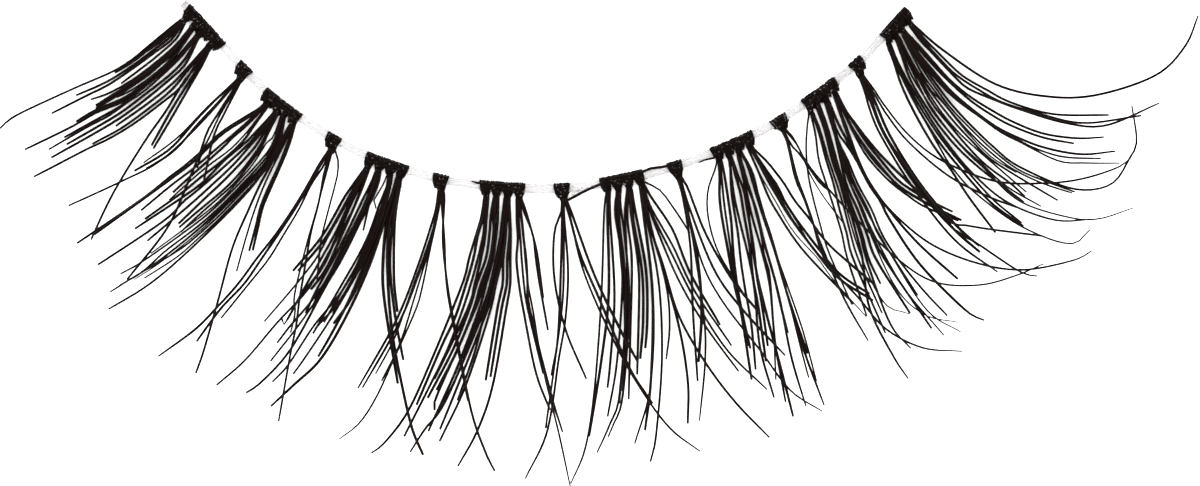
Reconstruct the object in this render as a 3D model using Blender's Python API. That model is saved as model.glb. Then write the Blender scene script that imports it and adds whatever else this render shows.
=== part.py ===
"""False eyelash strip, lying on a table: a clear band with eight rows of four knots and seven single knots.

The origin is the middle of the band's back edge, the edge that is glued along the eyelid. The strip
runs along X, the lashes leave it towards -Y, and they curl up towards +Z. Sizes below are in
millimetres, as lash makers give them. The meshes are worked out in millimetres and turned to metres
at the end.
"""
from math import hypot, sqrt
from typing import NamedTuple

import bmesh
import bpy
import numpy as np
from mathutils import Matrix, Vector

METRES_PER_MM = 0.001

# The band: a clear ribbon that follows the curve of the lash line.
BAND_LINE = (
    (-14.52, 7.28), (-13.0, 5.62), (-11.32, 3.88), (-9.8, 2.68), (-8.48, 1.86), (-7.1, 1.14), (-4.2, 0.22),
    (-0.8, -0.16), (2.16, 0.0), (5.32, 0.76), (8.32, 1.98), (10.4, 3.24), (12.48, 4.84), (14.5, 7.0),
)
BAND_WIDTH = 0.32
BAND_THICKNESS = 0.12
BAND_HEIGHT = 0.21
BAND_STATIONS = 41
BAND_CUT_OVERRUN = 1.0
SPLINE_STEPS = 24
DIRECTION_PROBE = 0.05

# The knots: fibre wound round the band, in a trapezoid that narrows to the stem where the lashes leave it.
KNOT_HALF_HEIGHT = 0.21
KNOT_BACK = 0.07
KNOT_SLOT_GAP = 0.025
KNOT_SIDE_LAP = 0.54
KNOT_CROWN = 0.55
KNOT_SHOULDER = 0.5
KNOT_BACK_WIDTH_SHARE = 0.92
KNOT_BACK_HEIGHT_SHARE = 0.8
KNOT_NECK_PLACE = 0.7
KNOT_NECK_WIDTH_SHARE = 0.66
KNOT_NECK_HEIGHT_SHARE = 0.75
SINGLE_KNOT_WIDTH = 0.66
STEM_WIDTH = 0.22
STEM_HEIGHT_SHARE = 0.45

# The lashes: locks whose underside dips to the table a little way out from the band and then curls up.
CURL_RADIUS = 12.5
BELLY_DISTANCE = 2.8
BELLY_HEIGHT = 0.07
LASH_LINE_CENTRE = (0.0, 18.04)
LASH_LINE_RADIUS = 18.2
LAYER_LIFT = 0.22
LAYER_RISE_LENGTH = 2.0
LOCK_THICKNESS = 0.12
LOCK_TIP_THICKNESS = 0.05
LOCK_ROOT_WIDTH = 0.11
LOCK_FULL_FROM = 0.25
LOCK_FULL_TO = 0.7
LOCK_TIP_SHARE = 0.4
LOCK_RIDGE_SHARE = 2 / 3
LOCK_SLOPE_PROBE = 0.1
LOCK_ROOT_REACH = 0.16
LOCK_STAGGER = 0.035
LOCK_HEIGHT_STEP = 0.028
LOCK_SECTION_SPACING = 2.8
LOCK_LEAST_SECTIONS = 3

FIBRE_COLOUR = (0.012, 0.008, 0.008, 1.0)
FIBRE_ROUGHNESS = 0.42
BAND_COLOUR = (0.86, 0.8, 0.8, 1.0)
BAND_ROUGHNESS = 0.28
SMOOTH_UP_TO_ANGLE = 0.6


class Lock(NamedTuple):
    """One lock of lashes: the stem that it leaves, its width, a point half way along it, and its tip."""

    stem: int
    width: float
    bend: tuple
    tip: tuple


class Bunch(NamedTuple):
    """The knots on one stretch of the band, with the locks that leave them."""

    node: str
    layer: int
    span: tuple
    stems: tuple
    locks: tuple


BUNCHES = (
    Bunch(
        "lash_group_1", 0, (-14.18, -12.74), ((-14.43, 6.56), (-14.08, 6.28), (-13.85, 5.99), (-13.4, 5.51)),
        (
            Lock(0, 0.12, (-17.3, 4.54), (-21.7, 2.31)),
            Lock(0, 0.22, (-16.1, 5.12), (-18.76, 3.57)),
            Lock(1, 0.28, (-16.2, 4.3), (-18.6, 2.95)),
            Lock(2, 0.12, (-17.06, 3.26), (-20.79, 1.4)),
            Lock(2, 0.24, (-16.4, 3.12), (-19.4, 1.4)),
            Lock(3, 0.16, (-16.93, 2.04), (-20.42, 0.31)),
            Lock(3, 0.18, (-14.75, 3.2), (-15.77, 1.44)),
            Lock(3, 0.1, (-16.0, 1.99), (-18.13, -2.12)),
        ),
    ),
    Bunch(
        "lash_group_2", 1, (-11.2, -9.86), ((-11.13, 3.26), (-10.74, 2.94), (-10.49, 2.78), (-10.1, 2.46)),
        (
            Lock(0, 0.12, (-15.0, 0.18), (-18.66, -2.33)),
            Lock(0, 0.22, (-13.2, 1.0), (-16.1, -1.03)),
            Lock(1, 0.2, (-14.75, -1.31), (-17.83, -3.22)),
            Lock(1, 0.24, (-13.1, -0.6), (-14.66, -1.8)),
            Lock(2, 0.24, (-13.79, -1.9), (-17.1, -4.1)),
            Lock(3, 0.16, (-13.47, -1.89), (-17.5, -4.9)),
            Lock(3, 0.12, (-12.53, -2.56), (-13.88, -7.45)),
            Lock(3, 0.18, (-11.3, -0.45), (-11.8, -2.7)),
        ),
    ),
    Bunch(
        "lash_group_3", 0, (-7.14, -5.5), ((-7.13, 0.63), (-6.67, 0.6), (-6.22, 0.46), (-5.84, 0.34)),
        (
            Lock(0, 0.14, (-8.43, -1.47), (-10.0, -3.47)),
            Lock(0, 0.16, (-9.0, -3.2), (-10.42, -5.58)),
            Lock(0, 0.1, (-9.52, -4.23), (-13.04, -7.97)),
            Lock(1, 0.28, (-8.11, -2.44), (-9.6, -5.3)),
            Lock(1, 0.16, (-9.01, -4.49), (-11.86, -8.29)),
            Lock(2, 0.28, (-7.53, -3.2), (-9.13, -5.98)),
            Lock(2, 0.16, (-8.5, -4.8), (-10.84, -7.85)),
            Lock(3, 0.18, (-7.5, -4.2), (-10.88, -8.82)),
            Lock(3, 0.14, (-6.47, -3.44), (-5.91, -7.9)),
            Lock(3, 0.1, (-6.3, -3.76), (-4.9, -10.73)),
            Lock(3, 0.14, (-6.1, -2.9), (-5.69, -6.97)),
        ),
    ),
    Bunch(
        "lash_group_4", 1, (-2.56, -0.8), ((-2.35, -0.4), (-1.95, -0.43), (-1.53, -0.46), (-1.06, -0.5)),
        (
            Lock(0, 0.1, (-3.72, -4.92), (-6.85, -10.68)),
            Lock(0, 0.24, (-3.5, -5.1), (-5.4, -9.6)),
            Lock(1, 0.32, (-3.0, -4.9), (-4.5, -8.6)),
            Lock(2, 0.28, (-2.6, -5.2), (-4.2, -9.8)),
            Lock(2, 0.2, (-2.36, -5.3), (-3.47, -8.57)),
            Lock(3, 0.24, (-1.52, -4.2), (-2.22, -7.8)),
            Lock(3, 0.1, (-1.6, -5.6), (-3.25, -11.06)),
            Lock(3, 0.14, (-1.05, -4.0), (0.16, -8.95)),
            Lock(3, 0.14, (-0.66, -4.2), (0.68, -9.84)),
            Lock(3, 0.08, (-0.5, -5.9), (1.0, -11.96)),
            Lock(3, 0.12, (-0.34, -2.9), (0.1, -5.78)),
        ),
    ),
    Bunch(
        "lash_group_5", 0, (2.2, 3.98), ((2.53, -0.2), (2.95, -0.26), (3.37, -0.16), (3.89, -0.06)),
        (
            Lock(0, 0.1, (2.28, -4.3), (1.1, -11.87)),
            Lock(0, 0.18, (2.52, -4.5), (1.78, -10.0)),
            Lock(0, 0.14, (2.76, -4.0), (2.51, -8.07)),
            Lock(1, 0.2, (3.12, -4.4), (2.9, -8.8)),
            Lock(1, 0.12, (3.26, -5.6), (2.18, -10.68)),
            Lock(2, 0.14, (3.48, -4.2), (3.35, -8.53)),
            Lock(2, 0.22, (3.86, -3.9), (3.75, -7.3)),
            Lock(3, 0.14, (4.33, -4.7), (4.01, -9.76)),
            Lock(3, 0.12, (4.62, -5.2), (4.23, -11.0)),
            Lock(3, 0.16, (5.16, -4.7), (5.71, -9.49)),
            Lock(3, 0.12, (5.36, -5.27), (8.9, -10.06)),
            Lock(3, 0.14, (5.7, -4.2), (8.6, -8.0)),
            Lock(3, 0.18, (5.44, -2.74), (6.97, -5.57)),
        ),
    ),
    Bunch(
        "lash_group_6", 1, (6.62, 8.28), ((6.98, 1.0), (7.4, 1.1), (7.79, 1.25), (8.21, 1.48)),
        (
            Lock(0, 0.26, (7.4, -2.7), (8.25, -7.5)),
            Lock(1, 0.1, (7.84, -3.3), (8.42, -7.41)),
            Lock(1, 0.28, (8.2, -2.9), (8.92, -7.02)),
            Lock(2, 0.22, (8.64, -3.6), (9.89, -9.25)),
            Lock(2, 0.16, (8.9, -2.4), (9.7, -5.92)),
            Lock(2, 0.1, (9.08, -4.0), (10.4, -8.8)),
            Lock(3, 0.24, (9.35, -3.0), (10.47, -6.74)),
            Lock(3, 0.12, (9.62, -3.7), (11.02, -8.65)),
            Lock(3, 0.12, (9.75, -1.8), (12.33, -4.77)),
            Lock(3, 0.1, (11.2, -3.1), (16.6, -6.67)),
            Lock(3, 0.16, (10.1, -1.0), (13.1, -4.0)),
        ),
    ),
    Bunch(
        "lash_group_7", 0, (10.3, 11.6), ((10.66, 2.9), (10.93, 3.17), (11.27, 3.38), (11.64, 3.62)),
        (
            Lock(0, 0.08, (10.52, 0.3), (12.0, -4.2)),
            Lock(0, 0.2, (11.4, -0.3), (13.3, -5.6)),
            Lock(1, 0.14, (12.0, -1.2), (14.27, -7.5)),
            Lock(1, 0.24, (12.0, -0.2), (13.44, -3.97)),
            Lock(2, 0.26, (12.5, -0.7), (15.0, -5.5)),
            Lock(2, 0.12, (13.0, -1.0), (16.59, -5.89)),
            Lock(3, 0.12, (13.45, -1.0), (17.5, -5.41)),
            Lock(3, 0.18, (13.3, -0.35), (16.48, -3.77)),
            Lock(3, 0.1, (14.7, -1.9), (21.78, -2.67)),
            Lock(3, 0.24, (13.4, 0.7), (16.6, -1.4)),
        ),
    ),
    Bunch(
        "lash_group_8", 1, (13.42, 14.46), ((13.8, 5.56), (14.12, 5.9), (14.34, 6.12), (14.64, 6.44)),
        (
            Lock(0, 0.1, (15.29, 1.95), (18.0, -1.91)),
            Lock(0, 0.24, (15.6, 2.1), (19.1, -1.66)),
            Lock(0, 0.1, (16.9, 0.1), (21.69, -1.87)),
            Lock(1, 0.3, (15.95, 2.55), (19.5, -0.6)),
            Lock(1, 0.12, (17.4, 0.6), (22.8, -1.25)),
            Lock(2, 0.2, (17.0, 2.2), (21.2, -0.32)),
            Lock(2, 0.1, (18.0, 1.4), (23.5, 2.0)),
            Lock(2, 0.12, (17.99, 2.2), (22.9, 1.1)),
            Lock(2, 0.16, (17.99, 2.7), (22.2, 1.8)),
            Lock(3, 0.18, (17.7, 3.5), (24.49, 3.22)),
            Lock(3, 0.1, (19.5, 3.58), (26.09, 6.72)),
        ),
    ),
    Bunch(
        "lash_tuft_1", 2, (-12.18, -12.18), ((-12.28, 4.22),),
        (
            Lock(0, 0.14, (-14.2, 2.2), (-16.35, 0.5)),
            Lock(0, 0.1, (-15.4, 0.95), (-18.98, -0.83)),
            Lock(0, 0.12, (-14.33, 0.03), (-16.65, -3.75)),
        ),
    ),
    Bunch(
        "lash_tuft_2", 3, (-8.5, -8.5), ((-8.58, 1.36),),
        (
            Lock(0, 0.24, (-10.29, -1.67), (-12.94, -5.34)),
            Lock(0, 0.12, (-11.44, -3.08), (-15.35, -6.83)),
            Lock(0, 0.1, (-9.39, -2.24), (-10.6, -9.42)),
            Lock(0, 0.08, (-8.6, -0.5), (-9.13, -3.9)),
        ),
    ),
    Bunch(
        "lash_tuft_3", 2, (-4.18, -4.18), ((-4.18, -0.24),),
        (
            Lock(0, 0.18, (-4.81, -2.6), (-7.38, -8.14)),
            Lock(0, 0.08, (-5.19, -5.05), (-8.14, -10.13)),
            Lock(0, 0.14, (-4.01, -3.6), (-2.04, -11.37)),
        ),
    ),
    Bunch(
        "lash_tuft_4", 3, (0.68, 0.68), ((0.74, -0.6),),
        (
            Lock(0, 0.1, (0.36, -3.5), (1.62, -7.72)),
            Lock(0, 0.12, (0.66, -3.8), (0.27, -7.58)),
            Lock(0, 0.12, (0.86, -4.6), (-0.74, -11.67)),
            Lock(0, 0.12, (2.0, -4.6), (6.13, -10.62)),
            Lock(0, 0.14, (1.7, -3.0), (3.65, -7.0)),
        ),
    ),
    Bunch(
        "lash_tuft_5", 2, (5.16, 5.16), ((5.36, 0.3),),
        (
            Lock(0, 0.2, (6.0, -3.2), (6.12, -7.5)),
            Lock(0, 0.08, (6.3, -4.5), (6.18, -9.38)),
            Lock(0, 0.12, (6.7, -3.0), (9.55, -6.8)),
            Lock(0, 0.1, (6.9, -4.3), (11.0, -9.03)),
        ),
    ),
    Bunch(
        "lash_tuft_6", 3, (9.38, 9.38), ((9.54, 2.24),),
        (
            Lock(0, 0.14, (10.2, -0.2), (11.3, -3.3)),
            Lock(0, 0.08, (11.1, -2.9), (12.91, -6.25)),
            Lock(0, 0.12, (12.3, -1.35), (19.88, -3.2)),
        ),
    ),
    Bunch(
        "lash_tuft_7", 2, (12.44, 12.44), ((12.68, 4.34),),
        (
            Lock(0, 0.1, (14.2, 0.6), (18.01, -3.46)),
            Lock(0, 0.24, (14.4, 0.8), (17.38, -2.6)),
            Lock(0, 0.12, (15.0, 0.0), (19.7, -2.8)),
            Lock(0, 0.1, (15.04, 1.12), (18.98, -0.97)),
            Lock(0, 0.1, (15.6, 1.1), (23.3, 1.0)),
        ),
    ),
)


def smooth_line(points, steps):
    """A Catmull-Rom curve through the points, as an array of plan positions."""
    knots = np.array([points[0]] + list(points) + [points[-1]], dtype=float)
    knots[0] = 2 * knots[1] - knots[2]
    knots[-1] = 2 * knots[-2] - knots[-3]
    line = []
    for before, start, end, after in zip(knots, knots[1:], knots[2:], knots[3:]):
        for step in range(steps):
            t = step / steps
            cubic = -before + 3 * start - 3 * end + after
            square = 2 * before - 5 * start + 4 * end - after
            line.append(start + 0.5 * t * ((end - before) + t * (square + t * cubic)))
    line.append(knots[-2])
    return np.array(line)


CENTRELINE = smooth_line(BAND_LINE, SPLINE_STEPS)
ARC = np.concatenate([[0.0], np.cumsum(np.hypot(*np.diff(CENTRELINE, axis=0).T))])


def band_at(arc):
    """The band's middle at a distance along it, the direction it runs in, and the one its lashes leave in."""
    point = Vector([np.interp(arc, ARC, CENTRELINE[:, axis]) for axis in (0, 1)])
    next_arc = min(arc + DIRECTION_PROBE, ARC[-1])
    last_arc = max(arc - DIRECTION_PROBE, 0.0)
    ahead = Vector([np.interp(next_arc, ARC, CENTRELINE[:, axis]) for axis in (0, 1)])
    behind = Vector([np.interp(last_arc, ARC, CENTRELINE[:, axis]) for axis in (0, 1)])
    along = (ahead - behind).normalized()
    return point, along, Vector((along.y, -along.x))


def lash_height(place, layer):
    """How high a lash lies above the table at a plan position: down to its belly, then up its curl."""
    out = hypot(place[0] - LASH_LINE_CENTRE[0], place[1] - LASH_LINE_CENTRE[1]) - LASH_LINE_RADIUS
    if out < BELLY_DISTANCE:
        height = BELLY_HEIGHT + (BAND_HEIGHT - BELLY_HEIGHT) * (1 - max(out, 0.0) / BELLY_DISTANCE) ** 2
    else:
        height = BELLY_HEIGHT + CURL_RADIUS - sqrt(CURL_RADIUS**2 - (out - BELLY_DISTANCE) ** 2)
    rise = min(max(out / LAYER_RISE_LENGTH, 0.0), 1.0)
    return height + LAYER_LIFT * layer * rise * rise * (3 - 2 * rise)


def loft(rings):
    """A closed bmesh through rings of points, each ring with the same number of corners."""
    solid = bmesh.new()
    loops = []
    for ring in rings:
        corners = [solid.verts.new(point) for point in ring]
        loops.append([solid.edges.new(pair) for pair in zip(corners, corners[1:] + corners[:1])])
    for near, far in zip(loops, loops[1:]):
        bmesh.ops.bridge_loops(solid, edges=near + far)
    bmesh.ops.contextual_create(solid, geom=loops[0])
    bmesh.ops.contextual_create(solid, geom=loops[-1])
    bmesh.ops.recalc_face_normals(solid, faces=solid.faces)
    return solid


def ribbon(half_width, half_thickness, overrun):
    """A strip of rectangular section along the band's line, longer at both ends by the overrun."""
    rings = []
    for arc in np.linspace(0.0, ARC[-1], BAND_STATIONS):
        point, along, out = band_at(arc)
        if arc == 0.0:
            point = point - along * overrun
        if arc == ARC[-1]:
            point = point + along * overrun
        corners = ((-1, -1), (1, -1), (1, 1), (-1, 1))
        rings.append([
            (point + out * half_width * side).to_3d() + Vector((0, 0, BAND_HEIGHT + half_thickness * up))
            for side, up in corners
        ])
    return loft(rings)


def knot(arc, width, stem):
    """One knot: flat-bottomed sections from behind the band, round it, and in to the stem."""
    point, along, out = band_at(arc)
    stem = Vector(stem)
    sections = (
        (point - out * (BAND_WIDTH / 2 + KNOT_BACK), KNOT_BACK_WIDTH_SHARE * width, KNOT_BACK_HEIGHT_SHARE),
        (point + out * BAND_WIDTH / 4, width, 1.0),
        (point.lerp(stem, KNOT_NECK_PLACE), KNOT_NECK_WIDTH_SHARE * width, KNOT_NECK_HEIGHT_SHARE),
        (stem, STEM_WIDTH, STEM_HEIGHT_SHARE),
    )
    rings = []
    for centre, wide, height_share in sections:
        half = wide / 2
        half_height = KNOT_HALF_HEIGHT * height_share
        corners = (
            (half, KNOT_SHOULDER), (half * KNOT_CROWN, 1), (-half * KNOT_CROWN, 1), (-half, KNOT_SHOULDER),
            (-half, -1), (half, -1),
        )
        rings.append([
            (centre + along * side).to_3d() + Vector((0, 0, BAND_HEIGHT + half_height * up))
            for side, up in corners
        ])
    return loft(rings)


def lock_solid(lock, stem, knot_place, layer, order):
    """One lock of lashes: three-sided along a curve from inside its knot, through its bend, to its tip."""
    stem, bend, tip = Vector(stem), Vector(lock.bend), Vector(lock.tip)
    inward = (knot_place - stem).normalized()
    sideways = Vector((-inward.y, inward.x))
    root = stem + inward * LOCK_ROOT_REACH - sideways * LOCK_STAGGER * (order % 3 - 1)
    share = (bend - root).length / ((bend - root).length + (tip - bend).length)
    pull = (bend - (1 - share) ** 2 * root - share**2 * tip) / (2 * share * (1 - share))
    count = LOCK_LEAST_SECTIONS + round((tip - root).length / LOCK_SECTION_SPACING)
    width_places = (0.0, LOCK_FULL_FROM, LOCK_FULL_TO, 1.0)
    widths = (LOCK_ROOT_WIDTH, lock.width, lock.width, lock.width * LOCK_TIP_SHARE)
    rings = []
    for step in range(count):
        t = step / (count - 1)
        place = (1 - t) ** 2 * root + 2 * t * (1 - t) * pull + t**2 * tip
        heading = ((1 - t) * (pull - root) + t * (tip - pull)).normalized()
        width = np.interp(t, width_places, widths)
        thickness = np.interp(t, (LOCK_FULL_TO, 1.0), (LOCK_THICKNESS, LOCK_TIP_THICKNESS))
        height = lash_height(place, layer) + LOCK_HEIGHT_STEP * (order % 3)
        centre = place.to_3d() + Vector((0, 0, height))
        ahead = place + heading * LOCK_SLOPE_PROBE
        climb = (lash_height(ahead, layer) - lash_height(place, layer)) / LOCK_SLOPE_PROBE
        side = Vector((-heading.y, heading.x, 0))
        up = Vector((-heading.x * climb, -heading.y * climb, 1)).normalized()
        ridge = centre + up * thickness * LOCK_RIDGE_SHARE
        foot = centre - up * thickness * (1 - LOCK_RIDGE_SHARE)
        rings.append([foot + side * width / 2, ridge, foot - side * width / 2])
    return loft(rings)


def helper_object(name, solid):
    """A hidden object that holds one solid while it is joined or cut."""
    mesh = bpy.data.meshes.new(name)
    solid.to_mesh(mesh)
    solid.free()
    helper = bpy.data.objects.new(name, mesh)
    helper.hide_render = True
    helper.display_type = "WIRE"
    bpy.context.scene.collection.objects.link(helper)
    return helper


def evaluated_mesh(thing, name):
    """The object's mesh with its modifiers applied."""
    mesh = bpy.data.meshes.new_from_object(thing.evaluated_get(bpy.context.evaluated_depsgraph_get()))
    mesh.name = name
    return mesh


def shell_of(face):
    """All the faces that can be reached from one face across shared edges."""
    shell = {face}
    waiting = [face]
    while waiting:
        for edge in waiting.pop().edges:
            for neighbour in edge.link_faces:
                if neighbour not in shell:
                    shell.add(neighbour)
                    waiting.append(neighbour)
    return shell


def is_pocket(shell):
    """Whether a shell's faces point in to a sealed space, which makes the volume they enclose negative."""
    six_volumes = 0.0
    for face in shell:
        corners = [corner.vert.co for corner in face.loops]
        for second, third in zip(corners[1:], corners[2:]):
            six_volumes += corners[0].dot(second.cross(third))
    return six_volumes < 0


def fill_pockets(mesh):
    """Removes the shells round the small pockets that crossing locks seal between them."""
    solid = bmesh.new()
    solid.from_mesh(mesh)
    unseen = set(solid.faces)
    pockets = []
    while unseen:
        shell = shell_of(next(iter(unseen)))
        unseen -= shell
        if is_pocket(shell):
            pockets.extend(shell)
    bmesh.ops.delete(solid, geom=pockets, context="FACES")
    solid.to_mesh(mesh)
    solid.free()


def fused_mesh(name, solids, cutter):
    """One body: the first solid joined to all the others, with the cutter's room taken out of it."""
    helpers = [helper_object(f"{name}_piece_{number}", solid) for number, solid in enumerate(solids)]
    gathered = bpy.data.collections.new(f"{name}_pieces")
    bpy.context.scene.collection.children.link(gathered)
    for helper in helpers[1:]:
        gathered.objects.link(helper)
    join = helpers[0].modifiers.new("join", "BOOLEAN")
    join.operation = "UNION"
    join.operand_type = "COLLECTION"
    join.collection = gathered
    cut = helpers[0].modifiers.new("band_slot", "BOOLEAN")
    cut.operation = "DIFFERENCE"
    cut.object = cutter
    mesh = evaluated_mesh(helpers[0], name)
    fill_pockets(mesh)
    for helper in helpers:
        bpy.data.objects.remove(helper)
    bpy.data.collections.remove(gathered)
    return mesh


def material(name, colour, roughness):
    finish = bpy.data.materials.new(name)
    finish.use_nodes = True
    shader = finish.node_tree.nodes["Principled BSDF"]
    shader.inputs["Base Color"].default_value = colour
    shader.inputs["Roughness"].default_value = roughness
    shader.inputs["Metallic"].default_value = 0.0
    return finish


def finished_object(name, mesh, finish):
    """A named sub-part in metres, with its material and smooth shading."""
    mesh.transform(Matrix.Scale(METRES_PER_MM, 4))
    mesh.materials.clear()
    mesh.materials.append(finish)
    mesh.shade_smooth()
    mesh.set_sharp_from_angle(angle=SMOOTH_UP_TO_ANGLE)
    thing = bpy.data.objects.new(name, mesh)
    bpy.context.scene.collection.objects.link(thing)
    return thing


def make_band():
    mesh = bpy.data.meshes.new("lash_band")
    solid = ribbon(BAND_WIDTH / 2, BAND_THICKNESS / 2, 0.0)
    solid.to_mesh(mesh)
    solid.free()
    return finished_object("lash_band", mesh, material("clear_band", BAND_COLOUR, BAND_ROUGHNESS))


def make_bunch(bunch, cutter, fibre):
    """A row of knots round the band, fused with the locks that leave them."""
    first, last = (float(np.interp(x, CENTRELINE[:, 0], ARC)) for x in bunch.span)
    count = len(bunch.stems)
    width = (last - first) / count * 2 * KNOT_SIDE_LAP if count > 1 else SINGLE_KNOT_WIDTH
    arcs = [first + (last - first) * (number + 0.5) / count for number in range(count)]
    solids = [knot(arc, width, stem) for arc, stem in zip(arcs, bunch.stems)]
    places = [band_at(arc)[0] for arc in arcs]
    for order, lock in enumerate(bunch.locks):
        solids.append(lock_solid(lock, bunch.stems[lock.stem], places[lock.stem], bunch.layer, order))
    mesh = fused_mesh(bunch.node, solids, cutter)
    return finished_object(bunch.node, mesh, fibre)


def main():
    for thing in list(bpy.data.objects):
        bpy.data.objects.remove(thing)
    make_band()
    cutter = helper_object(
        "band_slot_cutter",
        ribbon(BAND_WIDTH / 2 + KNOT_SLOT_GAP, BAND_THICKNESS / 2 + KNOT_SLOT_GAP, BAND_CUT_OVERRUN),
    )
    fibre = material("black_fibre", FIBRE_COLOUR, FIBRE_ROUGHNESS)
    for bunch in BUNCHES:
        make_bunch(bunch, cutter, fibre)
    bpy.data.objects.remove(cutter)


main()
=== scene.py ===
"""False eyelash strip: knotted fibre lashes on a clear band, laid on a white table and seen from above.

The strip's sizes are in millimetres, as lash makers give them, and each mesh is turned to metres when it is
made. X runs along the band, -Y is the way the lashes point, and Z is up from the table.
"""
from math import cos, hypot, pi, sin, sqrt
from random import Random
from typing import NamedTuple

import bmesh
import bpy
import numpy as np
from bpy.props import FloatProperty, FloatVectorProperty, IntProperty, PointerProperty
from mathutils import Matrix, Vector


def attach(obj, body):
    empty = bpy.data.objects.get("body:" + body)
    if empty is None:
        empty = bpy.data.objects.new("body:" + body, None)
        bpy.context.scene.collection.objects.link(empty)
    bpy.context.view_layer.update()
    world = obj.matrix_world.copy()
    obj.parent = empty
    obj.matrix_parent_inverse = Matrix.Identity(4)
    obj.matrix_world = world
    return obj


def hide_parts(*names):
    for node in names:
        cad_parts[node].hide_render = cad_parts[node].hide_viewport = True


bl_info = {
    "name": "False eyelash strip",
    "version": (1, 0, 0),
    "blender": (4, 5, 0),
    "location": "View3D > Sidebar > Lash strip",
    "description": "Builds the lashes, knots, band and glue of a strip of false eyelashes on its table",
    "category": "Add Mesh",
}

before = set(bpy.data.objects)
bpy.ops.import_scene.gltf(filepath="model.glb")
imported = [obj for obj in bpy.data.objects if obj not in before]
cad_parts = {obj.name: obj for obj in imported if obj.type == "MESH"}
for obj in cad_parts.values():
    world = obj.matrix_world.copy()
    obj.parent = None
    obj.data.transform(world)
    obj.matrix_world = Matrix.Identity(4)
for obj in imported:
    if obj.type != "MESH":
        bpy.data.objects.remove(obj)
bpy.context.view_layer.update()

METRES_PER_MM = 0.001

# The band's line in plan, as in the solids, and the ribbon's section.
BAND_LINE = (
    (-14.52, 7.28), (-13.0, 5.62), (-11.32, 3.88), (-9.8, 2.68), (-8.48, 1.86), (-7.1, 1.14), (-4.2, 0.22),
    (-0.8, -0.16), (2.16, 0.0), (5.32, 0.76), (8.32, 1.98), (10.4, 3.24), (12.48, 4.84), (14.5, 7.0),
)
BAND_WIDTH = 0.32
BAND_THICKNESS = 0.12
BAND_HEIGHT = 0.21
SPLINE_STEPS = 24

# The rise of the lashes: their belly near the table, then their curl.
BELLY_DISTANCE = 2.8
BELLY_HEIGHT = 0.07
LASH_LINE_CENTRE = (0.0, 18.04)
LASH_LINE_RADIUS = 18.2
LAYER_LIFT = 0.22
LAYER_RISE_LENGTH = 2.0

# The knots' outline in plan.
KNOT_SIDE_LAP = 0.54
SINGLE_KNOT_WIDTH = 0.66

# The camera looks straight down, with the whole strip in a picture 48 mm wide.
PICTURE_WIDTH = 48.0
PICTURE_CENTRE = (2.2, -2.36, 2.0)
LENS_MM = 500.0
SENSOR_MM = 36.0


class Lash(NamedTuple):
    """One lash, or a few that lie together: its stem, its thickness and the points it passes to its tip."""

    stem: int
    thickness: float
    line: tuple
    fibres: int = 1
    tip: float = 0.0
    brown: bool = False


class Bunch(NamedTuple):
    """The knots on one stretch of band, the height layer of their lashes, and how blunt the tips are cut.

    The seat is how far the knots have slipped from the band's middle, towards the lashes.
    """

    node: str
    layer: int
    span: tuple
    seat: float
    tip: float
    stems: tuple
    lashes: tuple


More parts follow.
